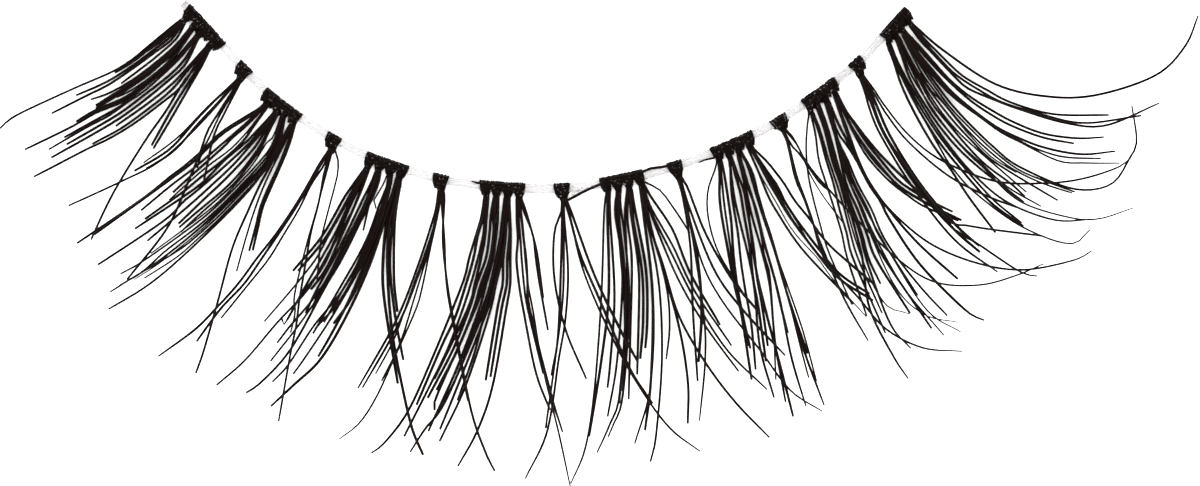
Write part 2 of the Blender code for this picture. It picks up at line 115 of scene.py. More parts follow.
BUNCHES = (
    Bunch(
        "lash_group_1", 0, (-14.34, -12.92), 0.01, 0.85,
        ((-14.47, 6.6), (-14.13, 6.3), (-13.88, 6.02), (-13.45, 5.56)),
        (
            Lash(0, 0.065, ((-15.0, 6.3), (-16.0, 5.47), (-16.6, 4.98), (-17.41, 4.49), (-18.98, 3.8),
                            (-21.16, 2.76), (-21.75, 2.28))),
            Lash(0, 0.07, ((-15.0, 6.2), (-15.5, 5.76), (-16.48, 4.96), (-17.2, 4.51))),
            Lash(0, 0.06, ((-14.98, 6.1), (-15.45, 5.7), (-15.98, 5.33))),
            Lash(0, 0.07, ((-15.05, 5.9), (-15.5, 5.54), (-16.48, 4.8), (-17.6, 4.1), (-18.74, 3.59))),
            Lash(0, 0.07, ((-15.0, 5.78), (-15.5, 5.4), (-16.48, 4.68), (-17.5, 3.99), (-18.4, 3.54),
                           (-19.7, 2.87))),
            Lash(0, 0.06, ((-14.78, 5.85), (-15.5, 5.19), (-16.0, 4.79), (-16.95, 4.08))),
            Lash(1, 0.06, ((-14.78, 5.62), (-15.5, 4.98), (-16.48, 4.23), (-17.5, 3.65),
                           (-18.15, 3.42))),
            Lash(1, 0.09, ((-15.0, 5.28), (-15.5, 4.86), (-16.0, 4.43), (-17.0, 3.78), (-17.95, 3.19))),
            Lash(1, 0.09, ((-15.0, 5.19), (-15.5, 4.76), (-16.0, 4.33), (-17.0, 3.66), (-17.95, 3.08))),
            Lash(1, 0.04, ((-15.0, 5.05), (-15.68, 4.42), (-16.48, 3.84), (-17.1, 3.52))),
            Lash(1, 0.08, ((-15.0, 4.95), (-15.5, 4.54), (-16.32, 3.83), (-17.0, 3.4), (-18.0, 2.98),
                           (-18.73, 2.55))),
            Lash(2, 0.07, ((-14.9, 4.93), (-15.5, 4.44), (-16.32, 3.72), (-17.0, 3.28), (-18.0, 2.87),
                           (-19.0, 2.29), (-20.75, 1.42))),
            Lash(2, 0.07, ((-14.62, 5.18), (-15.5, 4.37), (-16.6, 3.48), (-17.0, 3.14), (-18.0, 2.58),
                           (-19.2, 1.91))),
            Lash(2, 0.06, ((-14.7, 5.0), (-16.0, 3.8), (-16.7, 3.32), (-17.5, 2.74), (-18.4, 2.26),
                           (-19.8, 1.43))),
            Lash(2, 0.08, ((-14.4, 5.08), (-15.0, 4.43), (-16.0, 3.64), (-17.0, 2.88), (-18.0, 2.27),
                           (-19.1, 1.63))),
            Lash(2, 0.08, ((-14.4, 4.85), (-15.0, 4.25), (-16.0, 3.42), (-17.0, 2.68), (-18.0, 2.07),
                           (-19.7, 1.1))),
            Lash(3, 0.07, ((-14.3, 4.72), (-15.0, 3.99), (-16.0, 3.19), (-17.15, 2.38))),
            Lash(3, 0.07, ((-14.3, 4.6), (-15.0, 3.77), (-16.0, 2.96), (-17.0, 2.24), (-18.08, 1.65))),
            Lash(3, 0.07, ((-14.07, 4.7), (-14.62, 3.89), (-15.5, 3.16), (-16.48, 2.43), (-17.5, 1.81),
                           (-18.4, 1.38), (-20.38, 0.33))),
            Lash(3, 0.07, ((-13.95, 4.78), (-14.49, 4.12), (-15.2, 2.96), (-16.0, 1.81), (-17.03, 0.13),
                           (-17.6, -0.95), (-18.13, -2.15))),
            Lash(3, 0.08, ((-13.85, 4.79), (-14.23, 4.18), (-14.94, 3.06), (-15.75, 1.61))),
            Lash(3, 0.08, ((-13.75, 4.79), (-14.14, 4.12), (-14.86, 2.87), (-15.67, 1.49))),
        ),
    ),
    Bunch(
        "lash_tuft_1", 2, (-12.07, -12.07), 0.02, 0.85,
        ((-12.26, 4.2),),
        (
            Lash(0, 0.05, ((-13.53, 3.1), (-14.75, 1.85), (-16.03, 0.9))),
            Lash(0, 0.08, ((-13.85, 2.6), (-15.0, 1.34), (-16.35, 0.5)), 2),
            Lash(0, 0.06, ((-13.75, 2.5), (-15.4, 0.95), (-16.99, 0.1), (-18.98, -0.83))),
            Lash(0, 0.07, ((-13.06, 2.9), (-13.52, 2.15), (-13.85, 1.21), (-14.33, 0.03), (-15.13, -1.76),
                           (-16.65, -3.75))),
            Lash(0, 0.06, ((-12.83, 2.88), (-13.28, 1.92), (-13.65, 0.25))),
            Lash(0, 0.05, ((-13.02, 2.8), (-13.4, 2.0), (-13.75, 1.3), (-13.92, 0.72))),
        ),
    ),
    Bunch(
        "lash_group_2", 1, (-11.22, -9.78), 0.06, 0.9,
        ((-11.13, 3.26), (-10.74, 2.94), (-10.49, 2.78), (-10.1, 2.46)),
        (
            Lash(0, 0.07, ((-11.5, 3.02), (-12.0, 2.72), (-13.0, 2.07), (-13.67, 1.42), (-14.5, 0.7),
                           (-15.0, 0.33), (-16.16, -0.6), (-18.64, -2.32))),
            Lash(0, 0.07, ((-11.5, 2.93), (-12.0, 2.62), (-13.0, 1.96), (-14.0, 0.98), (-15.0, 0.2),
                           (-17.96, -1.97))),
            Lash(0, 0.07, ((-12.0, 2.43), (-12.5, 2.0), (-13.5, 1.14), (-14.2, 0.55), (-15.0, -0.06),
                           (-16.12, -1.0))),
            Lash(0, 0.07, ((-12.0, 2.33), (-12.5, 1.9), (-13.0, 1.4), (-14.2, 0.33), (-14.86, -0.28))),
            Lash(0, 0.04, ((-11.67, 2.44), (-12.07, 1.96), (-12.67, 1.36), (-13.5, 0.74), (-14.2, 0.15),
                           (-15.0, -0.58))),
            Lash(0, 0.07, ((-11.67, 2.35), (-12.17, 1.66), (-13.0, 0.9), (-13.83, 0.26), (-14.5, -0.3),
                           (-15.96, -1.35))),
            Lash(1, 0.07, ((-11.5, 2.2), (-12.0, 1.68), (-12.83, 0.98), (-13.67, 0.12), (-14.5, -0.5),
                           (-16.35, -1.74))),
            Lash(1, 0.07, ((-11.42, 2.15), (-12.0, 1.5), (-13.17, 0.43), (-14.0, -0.3), (-14.5, -0.7),
                           (-15.0, -1.25), (-16.0, -1.98), (-17.8, -3.18))),
            Lash(1, 0.07, ((-11.35, 2.1), (-12.0, 1.34), (-12.5, 0.78), (-13.0, 0.3), (-14.0, -0.62),
                           (-14.9, -1.4), (-15.86, -2.22))),
            Lash(1, 0.07, ((-11.25, 2.1), (-11.63, 1.5), (-12.2, 0.85), (-13.0, 0.03), (-13.67, -0.6),
                           (-14.63, -1.53))),
            Lash(1, 0.07, ((-11.16, 2.05), (-11.47, 1.48), (-12.0, 0.75), (-12.5, 0.16), (-13.0, -0.32),
                           (-14.0, -1.16), (-14.6, -1.68))),
            Lash(1, 0.05, ((-11.1, 2.05), (-11.4, 1.42), (-12.0, 0.6), (-12.5, 0.0), (-13.0, -0.46),
                           (-14.0, -1.35), (-14.52, -1.85))),
            Lash(2, 0.03, ((-10.9, 1.92), (-11.17, 1.66), (-11.6, 0.98), (-12.0, 0.46), (-13.0, -0.62),
                           (-14.0, -1.45), (-15.72, -2.73))),
            Lash(2, 0.05, ((-10.8, 1.95), (-11.05, 1.4), (-11.45, 0.9), (-12.0, 0.3), (-13.0, -0.72),
                           (-14.0, -1.58), (-16.03, -3.05), (-16.9, -3.55))),
            Lash(2, 0.05, ((-10.75, 1.95), (-11.02, 1.3), (-11.45, 0.75), (-12.0, 0.15), (-13.0, -0.88),
                           (-14.0, -1.76), (-15.2, -2.68), (-16.1, -3.5), (-16.93, -4.01))),
            Lash(2, 0.06, ((-10.7, 1.95), (-11.0, 1.2), (-11.45, 0.6), (-12.0, 0.04), (-13.0, -0.99),
                           (-14.0, -1.9), (-15.39, -3.02), (-16.42, -3.72))),
            Lash(2, 0.02, ((-10.7, 1.9), (-11.0, 1.1), (-11.5, 0.45), (-12.0, -0.06), (-13.0, -1.08),
                           (-14.0, -2.02), (-15.4, -3.14), (-16.36, -3.78))),
            Lash(2, 0.05, ((-10.62, 1.95), (-10.95, 1.1), (-11.4, 0.45), (-12.0, -0.15), (-13.0, -1.2),
                           (-14.0, -2.12), (-14.75, -2.7), (-16.35, -3.66), (-17.3, -4.27))),
            Lash(2, 0.04, ((-10.58, 1.9), (-10.88, 1.05), (-11.35, 0.4), (-12.0, -0.29), (-13.0, -1.33),
                           (-14.0, -2.27), (-14.75, -2.93), (-15.96, -3.72))),
            Lash(3, 0.06, ((-10.35, 2.2), (-10.75, 1.45), (-11.0, 0.95), (-11.5, 0.22), (-12.0, -0.39),
                           (-13.0, -1.44), (-14.75, -3.11), (-16.0, -4.13), (-17.34, -4.95))),
            Lash(3, 0.08, ((-10.34, 1.6), (-10.7, 0.7), (-11.12, -0.2), (-11.42, -0.95), (-11.6, -1.7),
                           (-11.84, -2.6))),
            Lash(3, 0.08, ((-10.26, 1.6), (-10.6, 0.75), (-11.02, -0.2), (-11.33, -0.95), (-11.5, -1.7),
                           (-11.7, -2.58))),
            Lash(3, 0.05, ((-10.4, 1.75), (-10.82, 0.9), (-11.25, 0.0), (-11.6, -0.9), (-11.95, -2.0),
                           (-12.34, -3.42))),
            Lash(3, 0.07, ((-10.45, 1.85), (-10.9, 0.95), (-11.42, 0.0), (-11.9, -1.05), (-12.53, -2.56),
                           (-13.08, -4.63), (-13.63, -6.65), (-13.9, -7.46))),
        ),
    ),
    Bunch(
        "lash_tuft_2", 3, (-8.45, -8.45), 0.07, 0.85,
        ((-8.58, 1.36),),
        (
            Lash(0, 0.08, ((-9.05, 0.8), (-9.52, -0.05), (-10.1, -1.0), (-10.78, -2.0), (-11.56, -3.0),
                           (-12.29, -4.0), (-13.18, -5.0), (-14.0, -5.83), (-15.35, -6.83)), 1, 0.68),
            Lash(0, 0.08, ((-8.98, 0.8), (-9.44, -0.02), (-10.02, -1.0), (-10.68, -2.0), (-11.36, -3.0),
                           (-12.05, -4.0), (-12.98, -5.0), (-13.86, -6.22))),
            Lash(0, 0.06, ((-8.9, 0.7), (-9.36, 0.0), (-9.86, -1.0), (-10.46, -2.0), (-11.07, -3.0),
                           (-11.86, -4.0), (-12.9, -5.3))),
            Lash(0, 0.06, ((-8.7, 1.0), (-8.88, 0.35), (-8.97, -0.2), (-9.12, -0.95), (-9.36, -1.85),
                           (-9.58, -3.08), (-9.84, -4.68), (-9.96, -5.67), (-10.2, -6.92),
                           (-10.6, -9.38))),
            Lash(0, 0.05, ((-8.33, 1.15), (-8.3, 0.55), (-8.42, -0.05), (-8.68, -1.03), (-8.95, -2.1),
                           (-9.03, -2.7), (-9.13, -3.86))),
            Lash(0, 0.05, ((-9.15, -1.0), (-9.55, -2.4), (-10.03, -4.42), (-10.0, -5.13),
                           (-10.16, -5.86))),
        ),
    ),
    Bunch(
        "lash_group_3", 0, (-7.2, -5.5), 0.03, 0.9,
        ((-7.13, 0.63), (-6.67, 0.6), (-6.22, 0.46), (-5.84, 0.34)),
        (
            Lash(0, 0.082, ((-7.92, -0.45), (-8.88, -2.12), (-10.0, -3.47)), 2),
            Lash(0, 0.052, ((-7.8, -0.5), (-8.75, -2.18), (-9.2, -3.01), (-10.16, -4.23),
                            (-11.19, -5.44))),
            Lash(0, 0.072, ((-7.85, -0.77), (-8.5, -2.12), (-9.65, -4.17), (-10.42, -5.58),
                            (-10.5, -5.46))),
            Lash(0, 0.082, ((-7.7, -0.8), (-8.37, -2.31), (-8.88, -3.4), (-9.68, -4.46)), 2),
            Lash(0, 0.062, ((-7.65, -0.9), (-8.75, -2.88), (-9.52, -4.23), (-10.72, -5.54),
                            (-12.0, -7.05), (-13.04, -7.97))),
            Lash(1, 0.072, ((-7.02, -0.13), (-8.11, -2.44), (-9.14, -4.36), (-9.49, -5.13)), 2),
            Lash(1, 0.062, ((-7.1, -0.5), (-8.2, -2.7), (-9.33, -5.08))),
            Lash(1, 0.062, ((-7.0, -0.4), (-8.2, -2.9), (-9.3, -4.6), (-10.2, -5.67), (-10.67, -6.29))),
            Lash(1, 0.052, ((-7.0, -0.6), (-8.2, -3.1), (-9.61, -5.29), (-10.93, -7.02))),
            Lash(1, 0.072, ((-6.95, -0.6), (-9.01, -4.49), (-10.23, -6.68), (-11.34, -7.92),
                            (-11.86, -8.29))),
            Lash(1, 0.052, ((-6.9, -0.2), (-7.08, -0.9), (-7.28, -1.79))),
            Lash(2, 0.072, ((-6.31, -0.19), (-7.02, -2.24), (-8.11, -4.23), (-9.13, -5.98)), 3),
            Lash(2, 0.062, ((-6.6, -1.0), (-7.9, -3.9), (-9.26, -5.67), (-10.27, -7.23),
                            (-10.84, -7.85))),
            Lash(2, 0.062, ((-6.5, -1.0), (-7.2, -2.9), (-8.43, -5.13), (-9.54, -6.85),
                            (-10.02, -7.53))),
            Lash(2, 0.062, ((-6.55, -1.2), (-8.0, -4.3), (-9.16, -5.74))),
            Lash(2, 0.032, ((-6.45, 0.1), (-6.63, -0.26), (-6.86, -0.58), (-6.8, -0.9))),
            Lash(3, 0.09, ((-6.31, -1.03), (-7.02, -3.2), (-7.98, -5.32), (-8.99, -7.02), (-10.03, -8.02),
                           (-10.88, -8.82)), 1, 0.72),
            Lash(3, 0.09, ((-6.3, -0.9), (-6.83, -2.18), (-7.79, -4.49), (-8.57, -6.02),
                           (-9.04, -6.83))),
            Lash(3, 0.08, ((-6.18, -0.64), (-6.83, -2.44), (-7.72, -4.49), (-8.43, -5.52))),
            Lash(3, 0.08, ((-5.83, -0.11), (-6.03, -1.52), (-6.06, -3.76), (-5.93, -5.04)),
                           1, 0.0, True),
            Lash(3, 0.08, ((-5.95, -0.5), (-6.15, -1.84), (-6.22, -3.44), (-5.99, -5.43), (-5.69, -6.97)),
                           1, 0.0, True),
            Lash(3, 0.1, ((-6.05, -0.5), (-6.35, -1.52), (-6.51, -3.12), (-6.44, -4.72), (-5.91, -7.9))),
            Lash(3, 0.09, ((-6.0, -0.6), (-6.28, -1.84), (-6.31, -3.76), (-6.12, -6.0), (-5.69, -8.22),
                           (-5.3, -9.8), (-4.9, -10.73))),
        ),
    ),
    Bunch(
        "lash_tuft_3", 2, (-4.2, -4.2), 0.01, 0.85,
        ((-4.18, -0.24),),
        (
            Lash(0, 0.07, ((-4.42, -1.39), (-5.13, -3.57), (-5.96, -5.62), (-7.38, -8.14)), 2, 0.72),
            Lash(0, 0.05, ((-4.5, -1.8), (-5.4, -4.4), (-6.05, -6.21), (-6.74, -7.52))),
            Lash(0, 0.055, ((-4.3, -1.2), (-4.61, -2.61), (-4.93, -4.15), (-5.19, -5.05), (-6.05, -7.0),
                            (-6.74, -8.51), (-7.41, -9.55), (-8.14, -10.13)), 1, 0.68),
            Lash(0, 0.05, ((-4.5, -2.0), (-5.26, -4.63), (-5.83, -6.43), (-6.5, -7.8))),
            Lash(0, 0.07, ((-4.04, -0.6), (-4.1, -2.22), (-3.91, -4.08), (-3.61, -5.78), (-2.96, -9.02),
                           (-2.39, -10.67), (-2.04, -11.37))),
            Lash(0, 0.06, ((-4.14, -0.9), (-4.04, -2.1), (-3.95, -4.0), (-3.68, -5.6), (-3.1, -8.6))),
        ),
    ),
    Bunch(
        "lash_group_4", 1, (-2.6, -0.8), -0.01, 0.9,
        ((-2.35, -0.4), (-1.95, -0.43), (-1.53, -0.46), (-1.06, -0.5)),
        (
            Lash(0, 0.076, ((-2.56, -1.33), (-2.76, -2.0), (-3.06, -3.0), (-3.32, -4.0), (-4.47, -6.86),
                            (-5.48, -9.09), (-6.41, -10.34), (-6.85, -10.68)), 1, 0.68),
            Lash(0, 0.086, ((-2.5, -1.4), (-2.69, -2.0), (-2.88, -3.0), (-3.17, -4.0), (-3.61, -5.35),
                            (-4.18, -6.57), (-5.1, -8.75))),
            Lash(0, 0.076, ((-2.44, -1.5), (-2.47, -2.0), (-2.7, -3.0), (-2.98, -4.0), (-3.3, -5.0),
                            (-3.9, -6.6), (-4.76, -8.37), (-5.58, -10.0))),
            Lash(0, 0.086, ((-2.36, -1.4), (-2.42, -2.2), (-2.58, -3.0), (-2.82, -4.0), (-3.1, -5.0),
                            (-4.4, -7.73))),
            Lash(1, 0.086, ((-2.12, -1.2), (-2.15, -2.0), (-2.3, -3.0), (-2.66, -4.0), (-2.95, -5.0),
                            (-3.61, -6.65), (-4.58, -8.52)), 2),
            Lash(1, 0.076, ((-2.02, -1.3), (-2.06, -2.0), (-2.18, -3.0), (-2.47, -4.0), (-2.8, -5.0),
                            (-4.3, -8.4), (-4.4, -8.95))),
            Lash(1, 0.076, ((-1.9, -1.3), (-1.96, -2.0), (-2.1, -3.0), (-2.37, -4.0), (-2.64, -5.0),
                            (-3.5, -7.3), (-4.26, -9.0))),
            Lash(2, 0.066, ((-1.75, -1.6), (-1.8, -2.1), (-1.96, -2.9), (-2.2, -4.0), (-2.52, -5.0),
                            (-3.61, -7.87), (-4.26, -9.0), (-4.62, -9.8))),
            Lash(2, 0.076, ((-1.66, -1.4), (-1.7, -2.0), (-1.86, -3.0), (-2.13, -4.0), (-2.42, -5.0),
                            (-3.97, -8.66), (-4.8, -9.8), (-5.33, -10.63)), 1, 0.72),
            Lash(2, 0.076, ((-1.6, -1.5), (-1.63, -2.3), (-1.78, -3.0), (-2.03, -4.0), (-2.3, -5.0),
                            (-3.47, -8.01), (-4.16, -9.72))),
            Lash(2, 0.066, ((-1.62, -1.7), (-1.74, -3.0), (-1.97, -4.0), (-2.24, -5.21), (-3.18, -8.08),
                            (-4.17, -10.2))),
            Lash(2, 0.066, ((-1.7, -1.8), (-1.92, -3.0), (-2.28, -4.4), (-2.75, -6.5), (-3.47, -8.57))),
            Lash(2, 0.086, ((-1.5, -1.4), (-1.5, -2.0), (-1.6, -3.0), (-1.62, -4.0), (-1.83, -5.0),
                            (-2.28, -7.79)), 2),
            Lash(2, 0.076, ((-1.4, -1.5), (-1.38, -2.0), (-1.4, -3.0), (-1.4, -4.0), (-1.56, -5.0),
                            (-2.1, -8.08), (-2.71, -9.88), (-3.43, -11.19)), 1, 0.72),
            Lash(3, 0.07, ((-1.13, -1.5), (-1.09, -2.2), (-1.15, -3.0), (-1.05, -4.0), (-0.88, -5.0),
                           (-0.38, -7.5), (0.16, -8.95))),
            Lash(3, 0.06, ((-1.05, -1.5), (-0.99, -2.2), (-0.94, -3.0), (-0.85, -4.0), (-0.7, -5.0),
                           (-0.1, -7.5))),
            Lash(3, 0.08, ((-0.92, -1.6), (-0.86, -2.2), (-0.76, -3.0), (-0.7, -4.0), (-0.62, -5.0),
                           (0.23, -8.37), (0.68, -9.84)), 1, 0.72),
            Lash(3, 0.055, ((-0.88, -1.8), (-0.8, -3.0), (-0.66, -4.2), (-0.5, -5.0), (-0.1, -7.3),
                            (0.55, -9.95), (1.0, -12.0)), 1, 0.72),
            Lash(3, 0.06, ((-0.77, -1.07), (-0.42, -2.3), (-0.28, -3.0), (-0.15, -4.0), (-0.08, -4.5))),
            Lash(3, 0.07, ((-0.86, -1.07), (-0.5, -2.0), (-0.37, -3.0), (-0.22, -4.0), (0.1, -5.78))),
            Lash(-1, 0.09, ((-2.95, 0.12), (-2.72, 0.05), (-2.4, 0.04)), 2, 0.4),
        ),
    ),
    Bunch(
        "lash_tuft_4", 3, (0.65, 0.65), 0.0, 0.85,
        ((0.74, -0.6),),
        (
            Lash(0, 0.07, ((0.66, -1.07), (0.37, -1.97), (0.37, -3.76), (0.82, -5.82), (1.62, -7.72))),
            Lash(0, 0.08, ((0.68, -1.2), (0.65, -2.8), (0.52, -6.07), (0.27, -7.58))),
            Lash(0, 0.07, ((0.76, -1.3), (0.92, -3.44), (0.82, -5.37), (0.55, -7.0), (0.09, -9.88),
                           (-0.74, -11.67)), 1, 0.68),
            Lash(0, 0.06, ((0.74, -1.5), (0.72, -4.4), (0.41, -7.0), (0.04, -9.67))),
            Lash(0, 0.08, ((1.08, -1.2), (1.97, -3.63), (2.97, -5.75), (3.65, -7.0))),
            Lash(0, 0.06, ((1.01, -1.33), (1.59, -3.63), (2.89, -6.54), (4.0, -8.45), (5.04, -9.8),
                           (6.13, -10.62)), 1, 0.68),
            Lash(0, 0.08, ((1.0, -1.35), (1.4, -2.8), (2.17, -4.6), (3.37, -7.34), (4.25, -8.7))),
            Lash(-1, 0.08, ((0.82, -0.68), (1.02, -0.59), (1.3, -0.43), (1.6, -0.27), (2.0, -0.09),
                            (2.35, 0.06)), 1, 0.8),
        ),
    ),
    Bunch(
        "lash_group_5", 0, (2.2, 3.98), -0.06, 0.85,
        ((2.53, -0.2), (2.95, -0.26), (3.37, -0.16), (3.89, -0.06)),
        (
            Lash(0, 0.062, ((2.36, -1.2), (2.26, -4.4), (1.98, -8.21), (1.61, -10.56), (1.07, -11.87)),
                            1, 0.68),
            Lash(0, 0.082, ((2.5, -1.2), (2.55, -4.4), (2.26, -7.02), (1.78, -10.0))),
            Lash(0, 0.072, ((2.6, -1.2), (2.78, -4.4), (2.62, -7.02), (2.51, -8.07))),
            Lash(1, 0.062, ((2.81, -1.2), (3.1, -3.51), (2.89, -7.02), (2.52, -9.22))),
            Lash(1, 0.082, ((2.9, -1.2), (3.21, -5.43), (2.97, -8.69))),
            Lash(1, 0.062, ((3.0, -1.0), (3.3, -4.4), (3.05, -8.4), (2.65, -9.64), (2.18, -10.68)),
                            2, 0.72),
            Lash(2, 0.062, ((3.3, -1.4), (3.48, -3.12), (3.41, -6.22), (3.35, -8.53))),
            Lash(2, 0.072, ((3.45, -1.2), (3.72, -3.12), (3.77, -4.4), (3.69, -7.54))),
            Lash(2, 0.082, ((3.6, -1.4), (3.96, -3.44), (4.01, -5.43), (3.9, -6.92)), 2),
            Lash(2, 0.062, ((3.2, -1.2), (3.28, -3.12), (3.26, -6.0), (3.05, -8.2))),
            Lash(3, 0.09, ((3.96, -1.3), (4.31, -4.4), (4.24, -7.82), (4.01, -9.76))),
            Lash(3, 0.05, ((4.0, -1.6), (4.35, -5.0), (4.2, -8.2), (3.61, -10.3))),
            Lash(3, 0.07, ((4.1, -1.5), (4.57, -4.08), (4.68, -7.02), (4.44, -10.04), (4.23, -11.0))),
            Lash(3, 0.055, ((4.2, -1.5), (4.86, -4.08), (4.99, -5.69), (4.86, -6.94))),
            Lash(3, 0.07, ((4.15, -1.52), (4.73, -3.25), (5.36, -5.27), (6.39, -7.1), (7.58, -8.69),
                           (8.9, -10.06)), 1, 0.72, True),
            Lash(3, 0.08, ((4.2, -1.6), (5.28, -5.35), (5.71, -7.82), (5.71, -9.49))),
            Lash(3, 0.08, ((4.28, -0.56), (5.12, -1.84), (5.82, -3.57), (6.97, -5.57)), 1, 0.0, True),
            Lash(3, 0.06, ((4.22, -0.88), (5.12, -2.48), (5.95, -4.21), (7.42, -6.4))),
            Lash(3, 0.06, ((4.2, -1.0), (5.05, -2.74), (5.95, -4.53), (7.27, -6.62), (8.82, -8.16)),
                           1, 0.72),
            Lash(3, 0.06, ((4.25, -1.2), (5.31, -3.76), (6.47, -5.75), (7.7, -7.43))),
            Lash(-1, 0.05, ((3.99, 0.09), (4.6, -0.24), (5.05, -0.81), (5.44, -1.39), (5.76, -1.9))),
            Lash(-1, 0.08, ((3.86, 0.48), (4.05, 0.6), (4.5, 0.67), (5.0, 0.73)), 1, 0.8),
        ),
    ),
    Bunch(
        "lash_tuft_5", 2, (5.22, 5.22), -0.01, 0.85,
        ((5.36, 0.3),),
        (
            Lash(0, 0.07, ((5.5, -0.43), (5.82, -2.48), (5.92, -5.04), (6.1, -7.8))),
            Lash(0, 0.09, ((5.69, -1.07), (6.11, -3.0), (6.27, -5.04), (6.15, -7.04))),
            Lash(0, 0.06, ((5.75, -1.2), (6.33, -5.0), (6.41, -7.02), (6.18, -9.38)), 1, 0.72),
            Lash(0, 0.08, ((5.72, -0.15), (5.98, -0.85), (6.5, -2.12), (7.49, -3.82), (8.5, -5.06))),
            Lash(0, 0.07, ((5.8, -1.0), (6.78, -3.44), (7.87, -4.98), (9.55, -6.8)), 1, 0.72),
            Lash(0, 0.055, ((5.75, -1.2), (6.33, -3.25), (7.17, -4.79), (8.6, -6.64), (9.8, -8.24),
                            (11.0, -9.03)), 1, 0.68),
        ),
    ),
    Bunch(
        "lash_group_6", 1, (6.68, 8.33), -0.01, 0.85,
        ((6.98, 1.0), (7.4, 1.1), (7.79, 1.25), (8.21, 1.48)),
        (
            Lash(0, 0.045, ((6.8, 0.56), (6.52, -0.3), (6.55, -1.4), (6.98, -2.8), (8.0, -4.47))),
            Lash(0, 0.09, ((7.0, 0.3), (6.99, -0.5), (7.1, -1.4), (7.3, -2.5), (7.6, -4.1), (7.87, -5.24),
                           (8.25, -7.74))),
            Lash(0, 0.06, ((7.1, 0.0), (7.18, -0.8), (7.35, -2.0), (7.55, -3.4), (7.75, -4.6),
                           (8.15, -6.4))),
            Lash(0, 0.08, ((7.2, 0.3), (7.32, -0.5), (7.46, -1.5), (7.55, -2.8), (7.72, -4.2),
                           (7.95, -5.4), (8.2, -6.5))),
            Lash(1, 0.07, ((7.42, 0.72), (7.48, -0.4), (7.72, -1.9), (7.85, -3.1), (8.03, -4.3),
                           (8.26, -5.6), (8.42, -7.34))),
            Lash(1, 0.08, ((7.68, 0.35), (7.9, -0.3), (8.05, -1.2), (8.28, -2.5), (8.42, -3.8),
                           (8.62, -4.9), (8.91, -7.0)), 2),
            Lash(1, 0.07, ((7.48, 0.2), (7.62, -0.7), (7.88, -1.8), (8.15, -2.9), (8.4, -4.3),
                           (8.6, -6.5), (9.13, -8.45))),
            Lash(2, 0.07, ((7.95, 0.3), (8.18, -0.8), (8.35, -1.5), (8.72, -2.8), (9.02, -4.2),
                           (9.22, -6.4), (9.6, -8.62))),
            Lash(2, 0.08, ((8.0, 0.0), (8.22, -1.7), (8.45, -3.4), (8.87, -5.2), (9.47, -7.5),
                           (9.89, -9.2))),
            Lash(2, 0.07, ((8.02, 0.3), (8.25, -0.35), (8.6, -1.7), (9.0, -3.1), (9.4, -4.6),
                           (9.85, -6.9), (10.4, -8.8)), 1, 0.68),
            Lash(2, 0.08, ((8.1, 0.0), (8.45, -1.0), (8.8, -2.4), (9.2, -3.8), (9.45, -4.9),
                           (9.7, -5.88))),
            Lash(2, 0.045, ((8.2, -0.2), (8.6, -1.75), (8.8, -2.9), (9.0, -3.6), (9.14, -5.5),
                            (9.23, -7.74))),
            Lash(2, 0.08, ((8.15, 0.8), (8.38, 0.25), (8.62, -0.8), (9.0, -1.9), (9.35, -3.1),
                           (9.75, -4.6), (10.4, -6.77), (11.12, -8.76)), 1, 0.68),
            Lash(2, 0.08, ((8.12, 0.82), (8.5, -0.3), (8.85, -1.5), (9.3, -3.0), (9.67, -4.3),
                           (10.47, -6.7))),
            Lash(2, 0.05, ((8.1, 0.75), (8.6, -0.9), (9.1, -2.4), (9.55, -3.8), (10.27, -6.7),
                           (10.52, -7.66))),
            Lash(2, 0.05, ((8.15, 0.7), (8.7, -1.1), (9.3, -2.9), (9.72, -4.1), (10.33, -5.9),
                           (10.83, -7.8))),
            Lash(3, 0.07, ((8.55, 0.5), (8.95, -0.5), (9.3, -1.12), (9.98, -2.18), (10.62, -2.97),
                           (11.6, -4.0), (12.3, -4.74))),
            Lash(3, 0.08, ((8.7, 0.72), (9.3, -0.32), (9.9, -1.3), (10.87, -2.6), (11.8, -3.7),
                           (13.1, -4.55)), 2),
            Lash(3, 0.02, ((8.62, 0.4), (9.3, -0.8), (9.75, -1.6), (10.2, -2.2), (10.9, -2.95),
                           (11.6, -3.9), (12.8, -5.25))),
            Lash(3, 0.02, ((9.0, 0.42), (9.3, 0.0), (9.55, -0.5), (9.75, -0.95), (10.68, -2.5))),
            Lash(3, 0.07, ((8.9, 0.9), (9.3, 0.4), (9.6, 0.0), (10.0, -0.65), (10.62, -1.42),
                           (11.0, -1.98), (11.45, -2.5), (12.0, -3.0), (13.18, -4.02))),
            Lash(3, 0.06, ((8.75, 0.6), (9.35, -0.45), (10.0, -1.55), (11.0, -2.88), (12.5, -4.5),
                           (13.6, -5.77), (15.07, -6.54), (16.55, -6.67)), 1, 0.68),
            Lash(-1, 0.07, ((6.15, 0.88), (6.42, 0.98), (6.85, 1.06)), 1, 0.7),
        ),
    ),
    Bunch(
        "lash_tuft_6", 3, (9.38, 9.38), 0.03, 0.85,
        ((9.54, 2.24),),
        (
            Lash(0, 0.06, ((9.68, 1.75), (9.85, 1.0), (10.05, 0.15), (10.4, -0.65), (10.87, -1.95),
                           (11.93, -4.5), (12.88, -6.2)), 1, 0.72),
            Lash(0, 0.07, ((9.76, 1.6), (9.95, 0.8), (10.13, 0.15), (10.45, -0.7), (10.72, -1.5),
                           (10.95, -2.35), (11.3, -3.3))),
            Lash(0, 0.05, ((9.72, 2.12), (9.88, 1.96), (10.12, 1.55), (10.35, 1.08), (10.62, 0.68),
                           (10.9, 0.32), (11.45, -0.3), (12.03, -0.94), (13.95, -2.86), (15.53, -3.9),
                           (17.33, -4.04), (18.82, -3.65), (19.82, -3.22)), 1, 0.68),
